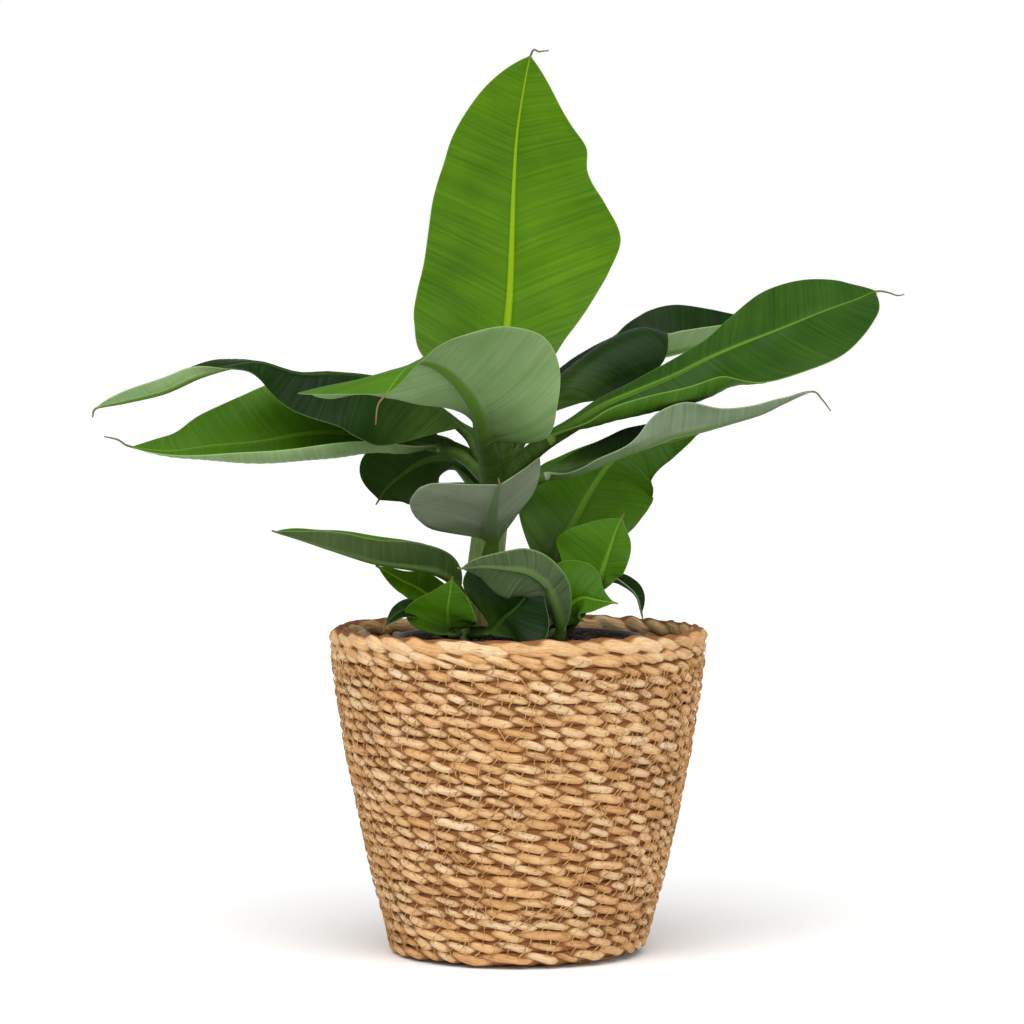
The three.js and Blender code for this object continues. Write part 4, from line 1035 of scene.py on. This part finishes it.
def leaf_half(leaf, half, sign, frames, at, start, end, radius):
    """One half of a blade: points, normals and distances from the midrib out, and the half's width."""
    middle, along, up, side = frames
    share = np.clip((at - start) / (end - start), 0, 1)
    on_blade = (at >= start) & (at <= end)
    width = np.maximum(np.where(on_blade, spread(half["width"], share), 0), radius)
    fold = 25 + (spread(half["fold"], share) - 25) * np.clip(at / start, 0, 1) ** 2
    curl = spread(half["curl"], share) * np.clip(at / start, 0, 1) ** 2
    sweep = np.where(on_blade, spread(half["sweep"], share), 0)

    inner = radius[:, None] * np.array([0.3, 0.6, 0.9, 1.2, 1.6])
    inner = np.minimum(inner, width[:, None] * np.array([0.12, 0.24, 0.36, 0.46, 0.55]))
    rim = np.maximum(width - 0.35, inner[:, -1] + 0.02)
    outer = inner[:, -1:] + (rim - inner[:, -1])[:, None] * np.linspace(0, 1, 10)[None, 1:]
    distance = np.concatenate([inner, outer, width[:, None]], axis=1)

    steps = 48
    stops = np.linspace(0, 1, steps + 1)
    angle = np.radians(fold[:, None] + curl[:, None] * (stops[:-1] + 0.5 / steps)[None, :])
    run = np.cumsum(np.cos(angle), axis=1) * width[:, None] / steps
    rise = np.cumsum(np.sin(angle), axis=1) * width[:, None] / steps
    run = np.concatenate([0 * width[:, None], run], axis=1)
    rise = np.concatenate([0 * width[:, None], rise], axis=1)
    out = distance / width[:, None]
    runs = np.array([np.interp(o, stops, r) for o, r in zip(out, run)])
    rises = np.array([np.interp(o, stops, r) for o, r in zip(out, rise)])
    tilt = np.radians(fold[:, None] + curl[:, None] * out)
    normal = np.cos(tilt)[..., None] * up[:, None, :] - sign * np.sin(tilt)[..., None] * side[:, None, :]

    height, count, phase = leaf["ripple"]
    wave = np.where(on_blade, height * np.sin(math.pi * share), 0)
    swing = np.sin(2 * math.pi * (count * share + phase + (0.37 if sign > 0 else 0)))
    place = middle[:, None, :] + sign * runs[..., None] * side[:, None, :]
    place = place + rises[..., None] * up[:, None, :]
    place = place + (wave[:, None] * out**2 * swing[:, None])[..., None] * normal
    place = place + ((sweep * width)[:, None] * out**1.5)[..., None] * along[:, None, :]
    return place, normal, distance, width


def leaf_piece(leaf, materials, seed):
    """One leaf: a channelled upper face and a keeled lower face, closed along the margin."""
    rib, at, start, end = leaf_rows(leaf)
    step = 0.01
    middle = spread(rib, at)
    along = unit(spread(rib, np.minimum(at + step, 1)) - spread(rib, np.maximum(at - step, 0)))
    face = spread(leaf["face"], at)
    up = unit(face - along * np.sum(face * along, axis=1, keepdims=True))
    side = np.cross(along, up)
    stalk = leaf["radius"]
    radius = np.interp(at, [0, start, end, 1], [stalk, stalk * 0.8, 0.5, THREAD_RADIUS])
    edge = np.interp(at, [0, start, start + 0.06, end, 1],
                     [stalk * 0.6, stalk * 0.5, BLADE_THICKNESS * 0.75, 0.45, 0.3])
    keel = np.maximum(radius * 1.5, edge)
    frames = middle, along, up, side
    lefts = leaf_half(leaf, leaf["left"], -1, frames, at, start, end, radius)
    rights = leaf_half(leaf, leaf["right"], 1, frames, at, start, end, radius)

    def line(k, centre, sign=1):
        return np.concatenate([sign * lefts[k][:, ::-1], centre[:, None], rights[k]], axis=1)

    place = line(0, middle)
    normal = line(1, up)
    signed = line(2, 0 * radius, -1)
    distance = np.abs(signed)
    half_width = np.where(signed < 0, lefts[3][:, None], rights[3][:, None])
    run = np.concatenate([[0], np.cumsum(np.linalg.norm(np.diff(middle, axis=0), axis=1))])
    share = np.clip((at - start) / (end - start), 0, 1)[:, None]
    lean = 0.55 - 0.25 * share
    vein = run[:, None] - lean * distance

    off_rib = np.clip(distance / radius[:, None] - 1, 0, 1) * np.clip((half_width - distance) / 3, 0, 1)
    on_blade = ((at >= start) & (at <= end))[:, None]
    pleats = 0.11 * np.sin(2 * math.pi * vein / 5.2 + 2.2 * waves(vein, distance, 22, seed))
    swells = 0.5 * waves(run[:, None] + 0 * signed, signed, 17, seed + 1)
    relief = np.where(on_blade, off_rib * (pleats + swells * np.clip(half_width / 25, 0.2, 1)), 0)
    channel = 0.32 * radius[:, None] * np.clip(1 - (distance / (0.95 * radius[:, None])) ** 2, 0, 1)
    bulge = np.sqrt(np.clip(1 - (distance / (1.2 * radius[:, None])) ** 2, 0, 1))
    thickness = edge[:, None] + (keel - edge)[:, None] * bulge
    at_margin = np.clip((half_width - distance) / 0.35, 0, 1)
    thickness = thickness * (1 - 0.55 * (1 - at_margin) * np.clip(share / 0.06, 0, 1))
    upper = place + (relief - channel)[..., None] * normal
    lower = place + (relief - thickness)[..., None] * normal
    grid = np.concatenate([upper, lower[:, ::-1]], axis=1)
    points, faces = skin(grid)

    across = upper.shape[1]

    def both(numbers):
        return np.concatenate([numbers, numbers[:, ::-1]], axis=1).ravel()

    values = {
        "veins": np.stack([both(vein), both(signed), both(0 * signed)], axis=-1),
        "rib": both(distance / (radius[:, None] * (0.9 - 0.2 * share))),
        "edge": both(np.where(on_blade, half_width - distance, 9)),
        "stalk": both(np.broadcast_to(np.clip(1 - share / 0.24, 0, 1), signed.shape)),
        "tip": both(np.broadcast_to(at[:, None] / end, signed.shape)),
    }
    under = np.arange(2 * across) >= across - 1
    under[-1] = False
    face_materials = np.concatenate([np.tile(under, len(at) - 1), [0, 0]]).astype(int)
    mesh_piece(leaf["name"] + "_blade", points, faces, materials, [leaf["name"]], values,
               face_materials)


# ---------------------------------------------------------------- camera, floor and light


def camera():
    data = bpy.data.cameras.new("camera")
    data.sensor_width = 36
    data.lens = 141.2
    view = bpy.data.objects.new("camera", data)
    view.location = (-0.003, -1.966, 0.304)
    aim = Vector((-0.003, 0, 0.216))
    view.rotation_euler = (aim - view.location).to_track_quat("-Z", "Y").to_euler()
    bpy.context.scene.collection.objects.link(view)
    bpy.context.scene.camera = view


def floor():
    mesh = bpy.data.meshes.new("floor")
    reach = 40
    corners = [(-reach, -reach, 0), (reach, -reach, 0), (reach, reach, 0), (-reach, reach, 0)]
    mesh.from_pydata(corners, [], [(0, 1, 2, 3)])
    shader = Shader("floor_paper", Roughness=0.9, Specular_IOR_Level=0.1)
    paper = shader.noise(shader.place((3, 3, 3)), detail=2)
    whites = [(0.0, (0.93, 0.93, 0.93, 1)), (1.0, (0.96, 0.96, 0.96, 1))]
    shader.set("Base Color", shader.ramp(paper, whites))
    mesh.materials.append(shader.material)
    piece = bpy.data.objects.new("floor", mesh)
    bpy.context.scene.collection.objects.link(piece)


def area_light(name, place, aim, size, power):
    data = bpy.data.lights.new(name, "AREA")
    data.shape = "SQUARE"
    data.size = size
    data.energy = power
    light = bpy.data.objects.new(name, data)
    light.location = place
    light.rotation_euler = (Vector(aim) - Vector(place)).to_track_quat("-Z", "Y").to_euler()
    bpy.context.scene.collection.objects.link(light)


def studio():
    """A white room with a large soft light from the upper left and a weaker one from the right."""
    world = bpy.data.worlds.new("white_room")
    world.use_nodes = True
    nodes = world.node_tree.nodes
    background = nodes["Background"]
    background.inputs["Color"].default_value = (1, 1, 1, 1)
    seen = nodes.new("ShaderNodeLightPath").outputs["Is Camera Ray"]
    strength = nodes.new("ShaderNodeMapRange")
    strength.inputs["To Min"].default_value = 0.42
    strength.inputs["To Max"].default_value = 1.0
    world.node_tree.links.new(seen, strength.inputs["Value"])
    world.node_tree.links.new(strength.outputs["Result"], background.inputs["Strength"])
    bpy.context.scene.world = world
    bpy.context.scene.view_settings.view_transform = "Standard"
    data = bpy.data.lights.new("sky", "SUN")
    data.energy = 2.7
    data.angle = math.radians(70)
    sky = bpy.data.objects.new("sky", data)
    sky.rotation_euler = (math.radians(32), 0, 0)
    bpy.context.scene.collection.objects.link(sky)
    area_light("key", (-1.0, -1.5, 1.3), (0, 0, 0.2), 1.0, 9)
    area_light("fill", (1.3, -1.5, 0.7), (0, 0, 0.15), 1.0, 8)


# ---------------------------------------------------------------- making

camera()
floor()
studio()

straw = straw_material()
twine = twine_material()
basket_wall(straw)
basket_rim(straw)
basket_base(straw)
basket_stitches(twine)
basket_fibres(twine)
basket_lining(film_material())
nursery_pot(pot_material())
soil(soil_material())

sheath = stem_material()
for entry in STEMS:
    stem(entry, sheath)

uppers = {name: leaf_material("leaf_upper_" + name, look, 0.9) for name, look in UPPER_LOOKS.items()}
unders = {name: leaf_material("leaf_under_" + name, look, 1.6) for name, look in UNDER_LOOKS.items()}
for number, leaf in enumerate(LEAVES):
    leaf_piece(leaf, [uppers[leaf["upper"]], unders[leaf["under"]]], 100 + 10 * number)
